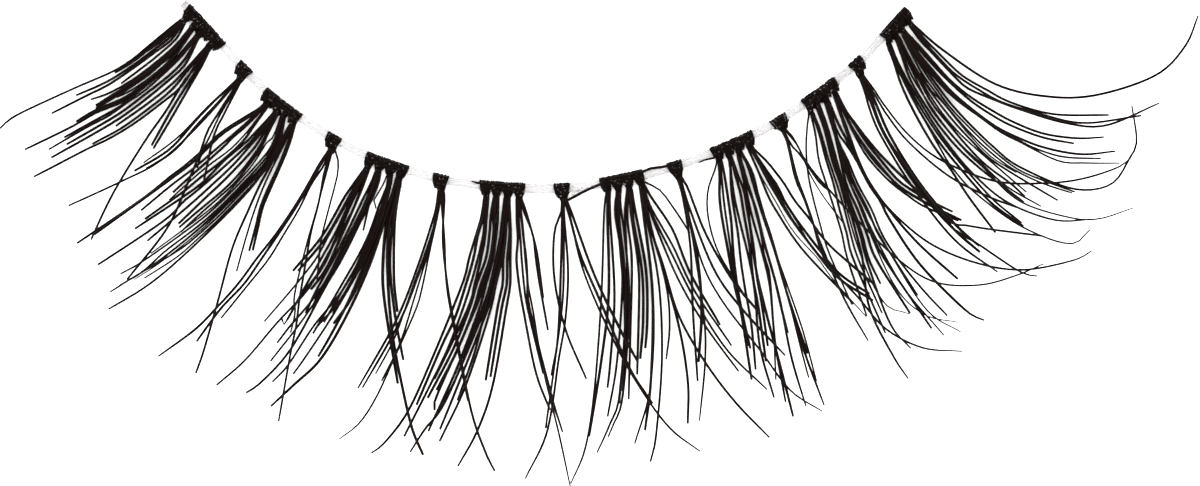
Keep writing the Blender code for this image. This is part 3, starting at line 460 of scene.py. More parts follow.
            Lash(0, 0.06, ((9.86, 1.58), (10.2, 1.2), (10.48, 0.8), (10.75, 0.4), (11.05, 0.0),
                           (11.38, -0.25))),
            Lash(0, 0.03, ((9.76, 1.98), (10.02, 1.68), (10.3, 1.15), (10.52, 0.6), (10.75, 0.15),
                           (11.15, -0.5), (11.5, -0.97), (11.9, -1.5))),
        ),
    ),
    Bunch(
        "lash_group_7", 0, (10.35, 11.64), 0.0, 0.85,
        ((10.66, 2.9), (10.93, 3.17), (11.27, 3.38), (11.64, 3.62)),
        (
            Lash(0, 0.045, ((10.51, 2.3), (10.47, 1.4), (10.55, 0.4), (10.7, -0.35), (11.0, -1.5),
                            (11.38, -2.75), (12.26, -4.76))),
            Lash(0, 0.06, ((10.84, 2.0), (10.97, 1.0), (11.28, 0.0), (11.6, -1.0), (11.9, -2.0),
                           (12.12, -3.0), (12.85, -5.2))),
            Lash(0, 0.06, ((10.97, 2.1), (11.26, 1.0), (11.57, 0.0), (11.8, -1.0), (12.1, -2.0),
                           (12.35, -3.0), (13.58, -5.88))),
            Lash(0, 0.05, ((11.05, 2.1), (11.36, 1.0), (11.7, 0.0), (12.0, -1.0), (12.25, -2.0),
                           (12.55, -3.0), (13.46, -5.1))),
            Lash(1, 0.072, ((11.2, 2.2), (11.5, 1.0), (11.85, 0.0), (12.2, -1.0), (12.48, -2.0),
                            (12.72, -3.0), (13.0, -5.0), (13.93, -6.9), (14.45, -7.7)), 1, 0.68),
            Lash(1, 0.072, ((11.35, 2.2), (11.68, 1.0), (11.97, 0.0), (12.35, -1.0), (12.7, -2.0),
                            (12.97, -3.0), (13.4, -3.92))),
            Lash(1, 0.062, ((11.3, 2.3), (11.6, 1.1), (11.9, 0.0), (12.28, -1.0), (12.62, -2.0),
                            (12.9, -3.1), (13.8, -5.57), (14.56, -6.5)), 1, 0.72),
            Lash(2, 0.082, ((11.55, 2.3), (11.85, 1.0), (12.08, 0.0), (12.52, -1.0), (12.9, -2.0),
                            (13.26, -3.0), (14.56, -5.1))),
            Lash(2, 0.072, ((11.6, 2.1), (11.95, 1.0), (12.25, 0.0), (12.72, -1.0), (13.1, -2.0),
                            (13.6, -3.0), (15.4, -5.7))),
            Lash(2, 0.062, ((11.68, 1.9), (12.03, 1.0), (12.42, 0.0), (12.93, -1.0), (13.35, -2.0),
                            (13.95, -2.95), (14.86, -4.38))),
            Lash(2, 0.062, ((11.74, 1.8), (12.12, 1.0), (12.54, 0.0), (13.08, -1.0), (13.5, -2.0),
                            (14.1, -2.95), (15.13, -4.24), (16.02, -5.2))),
            Lash(2, 0.042, ((11.66, 1.9), (12.0, 0.9), (12.5, -0.3), (13.8, -2.72), (15.27, -5.04),
                            (16.53, -5.86)), 1, 0.72),
            Lash(2, 0.042, ((11.6, 2.0), (11.95, 0.8), (12.5, -0.6), (14.2, -3.9), (15.88, -5.98))),
            Lash(1, 0.032, ((11.3, 2.0), (12.5, -2.4), (13.53, -4.7), (14.5, -5.16)), 1, 0.72),
            Lash(2, 0.032, ((11.6, 2.0), (12.5, -0.6), (13.9, -3.9), (15.13, -5.2), (16.44, -5.51)),
                            1, 0.72),
            Lash(2, 0.082, ((11.72, 2.5), (12.12, 1.72), (12.5, 0.95), (12.98, 0.0), (13.45, -0.7),
                            (13.8, -1.4), (15.0, -3.2), (16.8, -5.04), (17.46, -5.4)), 1, 0.72),
            Lash(2, 0.062, ((11.66, 2.25), (11.9, 1.82), (12.18, 1.45), (12.55, 0.82))),
            Lash(3, 0.06, ((11.8, 2.9), (12.1, 2.05), (12.5, 0.98), (13.0, 0.02), (14.01, -1.22),
                           (15.49, -2.42), (17.34, -3.18), (19.14, -3.43), (21.11, -3.04), (21.74, -2.7)),
                           1, 0.68),
            Lash(3, 0.08, ((11.9, 2.75), (12.2, 1.95), (12.55, 1.0), (13.05, 0.0), (13.95, -1.24),
                           (15.05, -2.48), (16.45, -3.74))),
            Lash(3, 0.08, ((12.2, 2.6), (12.85, 1.6), (13.25, 1.1), (14.0, 0.2), (14.5, -0.2),
                           (15.36, -0.72), (16.64, -1.34)), 2),
            Lash(3, 0.06, ((12.35, 2.1), (12.75, 1.35), (13.0, 0.98), (13.5, 0.42), (14.0, -0.05),
                           (14.53, -0.45), (15.2, -0.9), (16.48, -1.44))),
            Lash(3, 0.03, ((12.4, 2.15), (12.95, 1.22), (13.5, 0.57), (14.0, 0.1), (14.59, -0.32),
                           (15.2, -0.68))),
            Lash(3, 0.08, ((11.98, 3.06), (12.5, 2.35), (13.0, 1.7), (13.6, 1.02), (14.46, 0.17),
                           (15.4, -0.72))),
        ),
    ),
    Bunch(
        "lash_tuft_7", 2, (12.49, 12.49), 0.01, 0.85,
        ((12.68, 4.34),),
        (
            Lash(0, 0.07, ((12.82, 3.7), (13.02, 2.98), (13.46, 1.95), (14.72, -0.1), (16.38, -2.22),
                           (18.01, -3.46)), 1, 0.72),
            Lash(0, 0.09, ((13.05, 3.55), (13.76, 1.88), (15.1, -0.23), (16.45, -1.77), (17.38, -2.6)),
                           2),
            Lash(0, 0.065, ((13.05, 3.45), (13.8, 1.7), (15.94, -1.26), (17.01, -1.68), (19.8, -2.07))),
            Lash(0, 0.065, ((13.0, 3.4), (13.8, 1.6), (15.9, -1.35), (17.5, -2.52), (18.98, -3.51),
                            (19.57, -3.66)), 1, 0.72),
            Lash(0, 0.055, ((12.96, 4.1), (13.28, 3.66), (13.57, 3.2), (14.59, 1.95), (15.94, 0.92),
                            (18.0, 0.12), (19.96, 0.03), (21.44, 0.2), (22.83, 0.64), (23.33, 1.0)),
                            1, 0.68),
            Lash(0, 0.06, ((13.35, 3.35), (13.65, 2.85), (14.55, 1.7), (16.13, 0.35), (17.67, -0.47),
                           (18.95, -0.96))),
        ),
    ),
    Bunch(
        "lash_group_8", 1, (13.52, 14.5), 0.05, 0.85,
        ((13.8, 5.56), (14.12, 5.9), (14.34, 6.12), (14.64, 6.44)),
        (
            Lash(0, 0.074, ((13.95, 5.0), (14.27, 4.01), (14.79, 2.9), (15.53, 1.6), (16.2, 0.67),
                            (17.0, -0.56), (17.97, -1.87))),
            Lash(0, 0.074, ((14.02, 5.0), (14.35, 4.2), (14.85, 3.22), (15.27, 2.49), (15.83, 1.64),
                            (16.57, 0.71), (17.83, -0.72), (19.06, -1.63))),
            Lash(0, 0.054, ((14.06, 5.0), (14.4, 4.25), (14.92, 3.3), (15.36, 2.58), (15.94, 1.74),
                            (16.7, 0.78), (17.92, -0.6), (19.0, -1.5))),
            Lash(0, 0.044, ((14.0, 4.9), (14.8, 3.3), (15.2, 2.6), (15.46, 2.12), (16.0, 1.15),
                            (16.28, 0.71), (17.18, -0.31), (19.06, -1.7), (20.95, -2.39), (21.69, -1.87)),
                            1, 0.75),
            Lash(0, 0.059, ((14.1, 5.0), (14.45, 4.3), (15.0, 3.36), (15.53, 2.5), (16.2, 1.54),
                            (17.13, 0.43), (18.49, -0.72), (20.37, -1.44), (21.86, -1.41)), 1, 0.72),
            Lash(1, 0.064, ((14.35, 5.0), (14.64, 4.2), (15.2, 3.23), (15.83, 2.3), (16.57, 1.42),
                            (17.32, 0.72), (18.0, 0.17), (19.1, -0.68))),
            Lash(1, 0.044, ((14.42, 5.0), (14.72, 4.3), (15.3, 3.36), (15.95, 2.42), (16.66, 1.58),
                            (17.45, 0.84), (18.49, -0.1), (19.76, -0.85))),
            Lash(1, 0.064, ((14.5, 5.05), (15.0, 4.17), (15.53, 3.22), (16.2, 2.38), (17.0, 1.43),
                            (17.69, 0.74), (18.62, 0.04), (19.14, -0.44))),
            Lash(1, 0.044, ((14.5, 5.0), (14.93, 4.08), (15.44, 3.06), (16.08, 2.22), (16.88, 1.3),
                            (17.6, 0.62), (18.98, -0.68), (20.95, -1.34), (22.12, -1.39), (23.36, -0.99)),
                            1, 0.72),
            Lash(1, 0.054, ((14.6, 5.1), (15.1, 4.25), (15.68, 3.4), (16.39, 2.5), (17.13, 1.7),
                            (17.8, 1.04), (18.8, 0.37), (20.42, -0.61))),
            Lash(1, 0.044, ((14.6, 5.0), (15.1, 4.1), (15.83, 2.96), (16.57, 2.08), (17.5, 1.22),
                            (19.2, -0.27))),
            Lash(2, 0.064, ((14.92, 5.1), (15.27, 4.57), (15.83, 3.8), (16.31, 3.18), (17.0, 2.43),
                            (18.0, 1.46), (18.98, 0.7), (21.11, -0.19), (22.59, -0.02), (23.33, 1.0),
                            (23.63, 1.71), (23.47, 3.06)), 1, 0.72),
            Lash(2, 0.044, ((14.88, 5.05), (15.22, 4.48), (15.77, 3.7), (16.25, 3.07), (16.93, 2.34),
                            (17.94, 1.36), (18.9, 0.61), (19.96, 0.13), (21.1, -0.29))),
            Lash(2, 0.044, ((14.85, 4.92), (15.2, 4.3), (15.8, 3.5), (16.36, 2.8), (17.1, 1.98),
                            (17.97, 1.17), (18.8, 0.56), (19.9, 0.03), (21.0, -0.34))),
            Lash(2, 0.024, ((14.9, 4.8), (15.38, 3.9), (16.0, 3.2), (16.76, 2.26), (17.5, 1.45),
                            (18.0, 1.0), (18.8, 0.5))),
            Lash(2, 0.069, ((15.0, 5.22), (15.46, 4.67), (16.2, 3.81), (17.0, 3.1), (18.0, 2.35),
                            (18.8, 1.93), (19.96, 1.47), (21.44, 1.19), (22.7, 1.3)), 1, 0.72),
            Lash(2, 0.049, ((15.02, 5.12), (15.46, 4.57), (16.2, 3.72), (17.0, 3.02), (18.0, 2.28),
                            (18.8, 1.84), (19.7, 1.4), (20.78, 1.08), (22.13, 1.02))),
            Lash(2, 0.044, ((15.0, 5.05), (15.83, 4.01), (16.57, 3.31), (17.39, 2.71), (18.25, 2.08),
                            (18.98, 1.7), (20.53, 0.93), (21.6, 0.84), (22.87, 0.83)), 1, 0.75),
            Lash(2, 0.069, ((15.0, 5.54), (15.46, 5.02), (16.2, 4.2), (17.0, 3.53), (18.0, 2.9),
                            (18.8, 2.47), (19.96, 2.02), (21.3, 1.83), (22.26, 1.87)), 1, 0.72),
            Lash(2, 0.069, ((15.0, 5.4), (15.46, 4.88), (16.0, 4.31), (17.0, 3.39), (18.0, 2.71),
                            (18.8, 2.29), (19.96, 1.86), (21.08, 1.64))),
            Lash(3, 0.074, ((14.88, 6.3), (15.94, 5.39), (17.99, 4.04), (19.96, 3.53), (22.0, 3.55),
                            (24.4, 4.34), (25.58, 5.51), (26.07, 6.66)), 1, 0.72),
            Lash(3, 0.069, ((15.27, 5.76), (15.68, 5.35), (16.5, 4.54), (17.0, 4.17), (17.69, 3.79),
                            (18.65, 3.28), (20.37, 2.8), (22.46, 2.76))),
            Lash(3, 0.059, ((15.25, 5.65), (15.68, 5.18), (16.39, 4.45), (17.32, 3.82), (18.32, 3.28),
                            (19.96, 2.77), (21.6, 2.44), (23.74, 2.72))),
            Lash(3, 0.069, ((15.1, 5.7), (15.46, 5.33), (15.83, 4.93), (16.57, 4.16), (17.0, 3.81),
                            (18.0, 3.38), (18.98, 3.01), (20.78, 2.46), (22.42, 2.34), (24.45, 3.19)),
                            1, 0.72),
        ),
    ),
)


def linear(hex_colour):
    """The linear colour that a shader takes, from an sRGB hex value."""
    channels = (int(hex_colour[place:place + 2], 16) / 255 for place in (0, 2, 4))
    return tuple(
        value / 12.92 if value <= 0.04045 else ((value + 0.055) / 1.055) ** 2.4
        for value in channels
    )


class StripSizes(bpy.types.PropertyGroup):
    """The sizes of the strip that a maker would change."""

    curl_radius: FloatProperty(
        name="Curl radius", description="Radius that the lashes curl up on, beyond their belly",
        default=0.0125, min=0.009, unit="LENGTH",
    )
    fibre_scale: FloatProperty(
        name="Fibre thickness", description="Factor on the thickness of every lash",
        default=1.0, min=0.5, max=1.5, subtype="FACTOR",
    )
    winding_thickness: FloatProperty(
        name="Winding thickness", description="Thickness of the fibre that is wound round the band",
        default=0.000085, min=0.00005, unit="LENGTH",
    )
    winding_turns: IntProperty(
        name="Windings", description="Turns of fibre round the band in each knot", default=9, min=4, max=14,
    )
    filament_thickness: FloatProperty(
        name="Filament thickness", description="Thickness of the clear filaments along the band",
        default=0.00009, min=0.00004, unit="LENGTH",
    )
    glue_bead: FloatProperty(
        name="Glue bead", description="Width of a usual bead of dried glue", default=0.00012, min=0.00004,
        unit="LENGTH",
    )


class StripColours(bpy.types.PropertyGroup):
    """The colours of the strip and of its table."""

    fibre: FloatVectorProperty(
        name="Fibre", description="Dyed fibre of most lashes", subtype="COLOR", size=3, min=0.0, max=1.0,
        default=linear("0b0504"),
    )
    brown_fibre: FloatVectorProperty(
        name="Brown fibre", description="The few fibres whose dye shows brown", subtype="COLOR", size=3,
        min=0.0, max=1.0, default=linear("331614"),
    )
    band: FloatVectorProperty(
        name="Band", description="Tint of the clear band", subtype="COLOR", size=3, min=0.0, max=1.0,
        default=linear("edebec"),
    )
    table: FloatVectorProperty(
        name="Table", description="The table under the strip", subtype="COLOR", size=3, min=0.0, max=1.0,
        default=linear("fbfbfb"),
    )


def smooth_line(points, steps):
    """A Catmull-Rom curve through the points, as an array of positions."""
    knots = np.array([points[0]] + list(points) + [points[-1]], dtype=float)
    knots[0] = 2 * knots[1] - knots[2]
    knots[-1] = 2 * knots[-2] - knots[-3]
    line = []
    for before, start, end, after in zip(knots, knots[1:], knots[2:], knots[3:]):
        for step in range(steps):
            t = step / steps
            cubic = -before + 3 * start - 3 * end + after
            square = 2 * before - 5 * start + 4 * end - after
            line.append(start + 0.5 * t * ((end - before) + t * (square + t * cubic)))
    line.append(knots[-2])
    return np.array(line)


CENTRELINE = smooth_line(BAND_LINE, SPLINE_STEPS)
ARC = np.concatenate([[0.0], np.cumsum(np.hypot(*np.diff(CENTRELINE, axis=0).T))])
DIRECTION_PROBE = 0.05


def band_at(arc):
    """The band's middle at a distance along it, the direction it runs in, and the one its lashes leave in."""
    point = Vector([np.interp(arc, ARC, CENTRELINE[:, axis]) for axis in (0, 1)])
    next_arc = min(arc + DIRECTION_PROBE, ARC[-1])
    last_arc = max(arc - DIRECTION_PROBE, 0.0)
    ahead = Vector([np.interp(next_arc, ARC, CENTRELINE[:, axis]) for axis in (0, 1)])
    behind = Vector([np.interp(last_arc, ARC, CENTRELINE[:, axis]) for axis in (0, 1)])
    along = (ahead - behind).normalized()
    return point, along, Vector((along.y, -along.x))


def lash_height(place, layer, curl_radius):
    """How high a lash lies above the table at a plan position: down to its belly, then up its curl."""
    out = hypot(place[0] - LASH_LINE_CENTRE[0], place[1] - LASH_LINE_CENTRE[1]) - LASH_LINE_RADIUS
    if out < BELLY_DISTANCE:
        height = BELLY_HEIGHT + (BAND_HEIGHT - BELLY_HEIGHT) * (1 - max(out, 0.0) / BELLY_DISTANCE) ** 2
    else:
        height = BELLY_HEIGHT + curl_radius - sqrt(curl_radius**2 - (out - BELLY_DISTANCE) ** 2)
    rise = min(max(out / LAYER_RISE_LENGTH, 0.0), 1.0)
    return height + LAYER_LIFT * layer * rise * rise * (3 - 2 * rise)


def knot_places(bunch):
    """The distance along the band of each knot's middle, and the width of the knots."""
    first, last = (float(np.interp(x, CENTRELINE[:, 0], ARC)) for x in bunch.span)
    count = len(bunch.stems)
    width = (last - first) / count * 2 * KNOT_SIDE_LAP if count > 1 else SINGLE_KNOT_WIDTH
    return [first + (last - first) * (number + 0.5) / count for number in range(count)], width


def add_node(material, kind, sockets=None, settings=None, links=None):
    """Adds one shader node, with its settings, its socket values and the outputs linked into it."""
    node = material.node_tree.nodes.new(kind)
    for name, value in (settings or {}).items():
        setattr(node, name, value)
    for name, value in (sockets or {}).items():
        node.inputs[name].default_value = value
    for name, output in (links or {}).items():
        material.node_tree.links.new(output, node.inputs[name])
    return node


def new_material(name):
    """An empty node material with its Principled shader."""
    material = bpy.data.materials.get(name) or bpy.data.materials.new(name)
    material.use_nodes = True
    material.node_tree.nodes.clear()
    shader = add_node(material, "ShaderNodeBsdfPrincipled")
    add_node(material, "ShaderNodeOutputMaterial", links={"Surface": shader.outputs["BSDF"]})
    return material, shader


def per_mm(count):
    """A texture scale in object coordinates, from the number of features in a millimetre."""
    return count / METRES_PER_MM


def noise(material, features, detail, more=None):
    """A noise pattern in object coordinates, with a number of features in a millimetre."""
    place = add_node(material, "ShaderNodeTexCoord")
    return add_node(
        material, "ShaderNodeTexNoise", {"Scale": per_mm(features), "Detail": detail, **(more or {})},
        links={"Vector": place.outputs["Object"]},
    )


def raise_surface(material, shader, pattern, strength, depth):
    """Lets a pattern raise the surface, by up to a depth in millimetres."""
    relief = add_node(
        material, "ShaderNodeBump", {"Strength": strength, "Distance": depth * METRES_PER_MM},
        links={"Height": pattern.outputs["Fac"]},
    )
    material.node_tree.links.new(relief.outputs["Normal"], shader.inputs["Normal"])


def tint_between(material, shader, share, first, second):
    """Gives the surface a colour between two, as far from the first as the share says."""
    tint = add_node(material, "ShaderNodeMix", settings={"data_type": "RGBA"}, links={"Factor": share})
    tint.inputs["A"].default_value = (*first, 1.0)
    tint.inputs["B"].default_value = (*second, 1.0)
    material.node_tree.links.new(tint.outputs["Result"], shader.inputs["Base Color"])


DARK_DYE = 0.7
LIGHT_DYE = 1.5
GLUE_SHADE = 0.8


def drawn_polyester(name, colour):
    """Polyester fibre, drawn and dyed in the mass: a satin lengthwise gleam, near black with small drifts."""
    material, shader = new_material(name)
    # The dye drifts along a fibre over about half a millimetre.
    drift = noise(material, 2.0, 2.0)
    dark = [value * DARK_DYE for value in colour]
    light = [min(value * LIGHT_DYE, 1.0) for value in colour]
    tint_between(material, shader, drift.outputs["Fac"], dark, light)
    # Drawing marks about 0.02 mm apart, as coarse as they need to be to soften the gleam.
    raise_surface(material, shader, noise(material, 50.0, 1.0), 0.25, 0.004)
    shader.inputs["Roughness"].default_value = 0.4
    shader.inputs["IOR"].default_value = 1.57
    shader.inputs["Specular IOR Level"].default_value = 0.02
    return material


def glued_fibre(name, colour):
    """Wound fibre under a thin coat of dried lash glue: black, lumpy, small sharp gleams and painted
    highlights.
    """
    material, shader = new_material(name)
    # Lumps in the glue, about 0.12 mm across.
    raise_surface(material, shader, noise(material, 8.0, 4.0, {"Roughness": 0.6}), 0.8, 0.03)
    # Painted highlights: pale grey specks of about 0.05 mm that stand in for the glue's small gleams.
    painted_gleam = add_node(
        material, "ShaderNodeMapRange", {"From Min": 0.66, "From Max": 0.7, "To Min": 0.0, "To Max": 0.5},
        links={"Value": noise(material, 12.0, 3.0).outputs["Fac"]},
    )
    shaded = [value * GLUE_SHADE for value in colour]
    # The painted highlight specks take the colour towards pale grey a8a09e.
    tint_between(material, shader, painted_gleam.outputs["Result"], shaded, linear("a8a09e"))
    shader.inputs["Roughness"].default_value = 0.28
    shader.inputs["IOR"].default_value = 1.5
    shader.inputs["Specular IOR Level"].default_value = 0.02
    return material


def clear_nylon(name, colour):
    """Clear extruded nylon: see-through with a milky tint, and a gloss that comes and goes."""
    material, shader = new_material(name)
    # Milky patches over about a third of a millimetre.
    gloss = add_node(
        material, "ShaderNodeMapRange", {"From Min": 0.3, "From Max": 0.7, "To Min": 0.22, "To Max": 0.4},
        links={"Value": noise(material, 3.0, 3.0).outputs["Fac"]},
    )
    material.node_tree.links.new(gloss.outputs["Result"], shader.inputs["Roughness"])
    shader.inputs["Base Color"].default_value = (*colour, 1.0)
    shader.inputs["IOR"].default_value = 1.53
    shader.inputs["Transmission Weight"].default_value = 0.85
    return material


def dried_glue(name):
    """Clear latex lash glue, dried to a glossy skin with a grey cast."""
    material, shader = new_material(name)
    # Ripples in the skin, about 0.1 mm apart.
    raise_surface(material, shader, noise(material, 10.0, 3.0), 0.5, 0.02)
    shader.inputs["Base Color"].default_value = (*linear("efeaea"), 1.0)
    shader.inputs["Roughness"].default_value = 0.2
    shader.inputs["IOR"].default_value = 1.47
    shader.inputs["Transmission Weight"].default_value = 0.75
    return material


def matt_paper(name, colour):
    """White matt coated paper on the table, with a grain too fine to see."""
    material, shader = new_material(name)
    # The paper's grain, about 0.15 mm apart.
    raise_surface(material, shader, noise(material, 6.0, 2.0), 0.05, 0.01)
    shader.inputs["Base Color"].default_value = (*colour, 1.0)
    shader.inputs["Roughness"].default_value = 0.85
    return material


class Strand(NamedTuple):
    """A fibre to be made: its points with a thickness at each, and which of the piece's materials it has."""

    points: list
    thicknesses: list
    material: int = 0


def strands_piece(name, strands, materials, sides_step=1):
    """One mesh of round tapering strands, made from a curve object with a poly spline for each strand."""
    curve = bpy.data.curves.new(name, "CURVE")
    curve.dimensions = "3D"
    curve.bevel_depth = METRES_PER_MM
    curve.bevel_resolution = sides_step
    curve.use_fill_caps = True
    for strand in strands:
        spline = curve.splines.new("POLY")
        spline.points.add(len(strand.points) - 1)
        for place, point, thickness in zip(spline.points, strand.points, strand.thicknesses):
            place.co = (*(value * METRES_PER_MM for value in point), 1.0)
            place.radius = thickness / 2
        spline.use_smooth = True
        spline.material_index = strand.material
    for material in materials:
        curve.materials.append(material)
    helper = bpy.data.objects.new(f"{name}_curve", curve)
    bpy.context.scene.collection.objects.link(helper)
    mesh = bpy.data.meshes.new_from_object(helper.evaluated_get(bpy.context.evaluated_depsgraph_get()))
    mesh.name = name
    mesh.shade_smooth()
    bpy.data.objects.remove(helper)
    bpy.data.curves.remove(curve)
    return shown(name, mesh)


def shown(name, mesh):
    """Puts a finished mesh in the scene as a piece of the strip."""
    piece = bpy.data.objects.new(name, mesh)
    bpy.context.scene.collection.objects.link(piece)
    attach(piece, "root")
    return piece


# How the charted lashes are made, in millimetres and shares.
LASH_POINT_SPACING = 0.3
PLAN_STEPS = 12
LEAST_FIBRE = 0.036
THICKNESS_SCATTER = 0.06
LENGTH_SCATTER = 0.09
FIBRE_GAP = 1.35
ROOT_DEPTH = 0.16
ROOT_SPREAD = 0.2
ROOT_NARROWING = 0.6
SPREAD_LENGTH = 1.6
TIP_REACH = 0.08
BLUNT_TIP_LENGTH = 0.6
FINE_TIP_LENGTH = 1.4
FINE_TIP = 0.75
TIP_CURVE = 0.7
HEIGHT_SCATTER = 0.16
LEVELS = 3
LEVEL_STEP = 0.04


def lash_strands(bunch, lash, order, share, knot_place, sizes, random):
    """The strands of one charted lash, from inside its knot to its tip, lifted onto the curl."""
    strands = []
    curl = sizes.curl_radius / METRES_PER_MM
    for number in range(lash.fibres):
        line = [Vector(point) for point in lash.line]
        line[-1] += (line[-1] - line[-2]).normalized() * TIP_REACH
        if lash.stem >= 0:
            stem = Vector(bunch.stems[lash.stem])
            inward = (knot_place - stem).normalized()
            across = Vector((inward.y, -inward.x))
            offset = across * (share - 0.5) * ROOT_SPREAD
            line = [stem + inward * ROOT_DEPTH + offset * ROOT_NARROWING, stem + offset] + line
        plan = smooth_line(line, PLAN_STEPS)
        lengths = np.concatenate([[0.0], np.cumsum(np.hypot(*np.diff(plan, axis=0).T))])
        shorter = 1.0 - LENGTH_SCATTER * number * random.random()
        count = max(4, round(lengths[-1] / LASH_POINT_SPACING))
        along = np.linspace(0.0, lengths[-1] * shorter, count)
        plan = np.stack([np.interp(along, lengths, plan[:, axis]) for axis in (0, 1)], axis=1)
        scatter = random.uniform(1 - THICKNESS_SCATTER, 1 + THICKNESS_SCATTER)
        thickness = (LEAST_FIBRE + lash.thickness * scatter) * sizes.fibre_scale
        apart = (number - (lash.fibres - 1) / 2) * FIBRE_GAP * thickness
        lift = HEIGHT_SCATTER * random.random() + LEVEL_STEP * (order % LEVELS)
        tip = lash.tip or bunch.tip
        tip_length = FINE_TIP_LENGTH if tip <= FINE_TIP else BLUNT_TIP_LENGTH
        points = []
        thicknesses = []
        for place, distance in zip(plan, along):
            grown = min(distance / SPREAD_LENGTH, 1.0)
            heading = plan[min(len(plan) - 1, len(points) + 1)] - plan[max(0, len(points) - 1)]
            side = Vector((-heading[1], heading[0])).normalized()
            spot = Vector(place) + side * apart * grown
            height = lash_height(spot, bunch.layer, curl) + lift * grown
            points.append((spot.x, spot.y, height))
            left = min((along[-1] - distance) / tip_length, 1.0)
            thicknesses.append(thickness * (tip + (1 - tip) * left**TIP_CURVE))
        strands.append(Strand(points, thicknesses, 1 if lash.brown else 0))
    return strands


def fan_order(lash, stem, knot_place):
    """Where a lash leaves its stem in the fan, from one side of the stem to the other."""
    inward = (knot_place - stem).normalized()
    return (Vector(lash.line[0]) - stem).normalized().dot(Vector((inward.y, -inward.x)))


def lashes_of(bunch, sizes, materials):
    """All the lashes of one bunch as one piece, the roots side by side in the order that they fan out."""
    random = Random(bunch.node)
    arcs, _ = knot_places(bunch)
    strands = []
    for stem in range(-1, len(bunch.stems)):
        group = [lash for lash in bunch.lashes if lash.stem == stem]
        place = band_at(arcs[max(stem, 0)])[0]
        if stem >= 0:
            group.sort(key=lambda lash: fan_order(lash, Vector(bunch.stems[stem]), place))
        for order, lash in enumerate(group):
            share = (order + 0.5) / len(group)
            strands.extend(lash_strands(bunch, lash, order, share, place, sizes, random))
    return strands_piece(f"{bunch.node}_lashes", strands, materials)


class STRIP_OT_lashes(bpy.types.Operator):
    """Make the lashes of every group and tuft"""

    bl_idname = "strip.lashes"
    bl_label = "Lashes"

    def execute(self, context):
        sizes = context.scene.strip_sizes
        colours = context.scene.strip_colours
        fibres = (
            drawn_polyester("black_polyester_fibre", colours.fibre),
            drawn_polyester("brown_polyester_fibre", colours.brown_fibre),
        )
        for bunch in BUNCHES:
            piece = lashes_of(bunch, sizes, fibres)
            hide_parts(bunch.node)
        return {"FINISHED"}


# A winding's fan: how much of its place across the knot it keeps at the stem, at the neck and in front.
STEM_FAN = 0.3
NECK_FAN = 0.58
FRONT_FAN = 0.84

# A winding's path round the band: distances out from the band's middle, and heights from it.
STEM_OVERLAP = 0.1
STEM_TOP = 0.03
STEM_UNDERSIDE = -0.04
NECK_SHARE = 0.7
NECK_TOP = 0.085
NECK_UNDERSIDE = -0.08
FRONT_OUT = 0.17
FRONT_SWELL = 0.02
BACK_OUT = 0.08
BACK_SWELL = 0.01
TOP_HEIGHT = 0.115
BACK_REACH = 0.165
BACK_ROUNDING = 0.035
BACK_HEIGHT = 0.07
WINDING_STEPS = 2

# How far a skewed winding has drifted along the band where it passes in front and over the top, on its way
# to the back edge and on its way from it.
FRONT_DRIFT = (0.3, 1.7)
TOP_DRIFT = (0.6, 1.4)

# How far one winding departs from the next.
BACK_SCATTER = (-0.015, 0.03)
SKEW_SCATTER = (-0.05, 0.05)
RISE_SCATTER = (-0.012, 0.03)
TURN_SCATTER = (-0.01, 0.01)

# The turns across a knot in front of the band, each level a little further out, narrower and lower.
CROSS_TURNS = 3
CROSS_STEPS = 14
CROSS_WIDTH = 0.36
CROSS_NARROWING = 0.07
CROSS_OUT = 0.22
CROSS_SPACING = 0.06
CROSS_WAVE = 0.04
CROSS_HEIGHT = 0.16
CROSS_DROP = 0.02
CROSS_SCATTER = (-0.006, 0.006)

# The fibres laid along a row of knots: distance out from the band's middle, and height.
LACING_ROWS = ((-0.155, 0.05), (-0.08, 0.16), (0.04, 0.18), (0.15, 0.14))
LACING_TAPER = 1.1
LACING_SPACING = 0.12
LACING_SIDE_SCATTER = (-0.03, 0.03)
LACING_RISE_SCATTER = (-0.015, 0.015)


def winding(place, along, out, stem, offset, thickness, random):
    """One turn of fibre: from the stem over the band, behind it, and back under it to the stem."""
    to_stem = (stem - place).normalized()
    back = BACK_REACH + random.uniform(*BACK_SCATTER)
    skew = random.uniform(*SKEW_SCATTER)
    rise = random.uniform(*RISE_SCATTER)
    tail = stem + to_stem * STEM_OVERLAP + along * offset * STEM_FAN
    neck = place + to_stem * (stem - place).length * NECK_SHARE + along * offset * NECK_FAN
    front = place + out * FRONT_OUT + along * offset * FRONT_FAN
    behind = place - out * BACK_OUT + along * offset
    back_edge = place - out * (back - BACK_ROUNDING) + along * (offset + skew)
    spots = (
        (tail, STEM_TOP),
        (neck, NECK_TOP + rise),
        (front + along * skew * FRONT_DRIFT[0], TOP_HEIGHT + FRONT_SWELL + rise),
        (behind + along * skew * TOP_DRIFT[0], TOP_HEIGHT + BACK_SWELL + rise),
        (back_edge, BACK_HEIGHT),
        (place - out * back + along * (offset + skew), 0.0),
        (back_edge, -BACK_HEIGHT),
        (behind + along * skew * TOP_DRIFT[1], -TOP_HEIGHT - BACK_SWELL),
        (front + along * skew * FRONT_DRIFT[1], -TOP_HEIGHT - FRONT_SWELL),
        (neck, NECK_UNDERSIDE),
        (tail, STEM_UNDERSIDE),
    )
    path = smooth_line([(*spot, BAND_HEIGHT + height) for spot, height in spots], WINDING_STEPS)
    return Strand([tuple(point) for point in path], [thickness] * len(path))


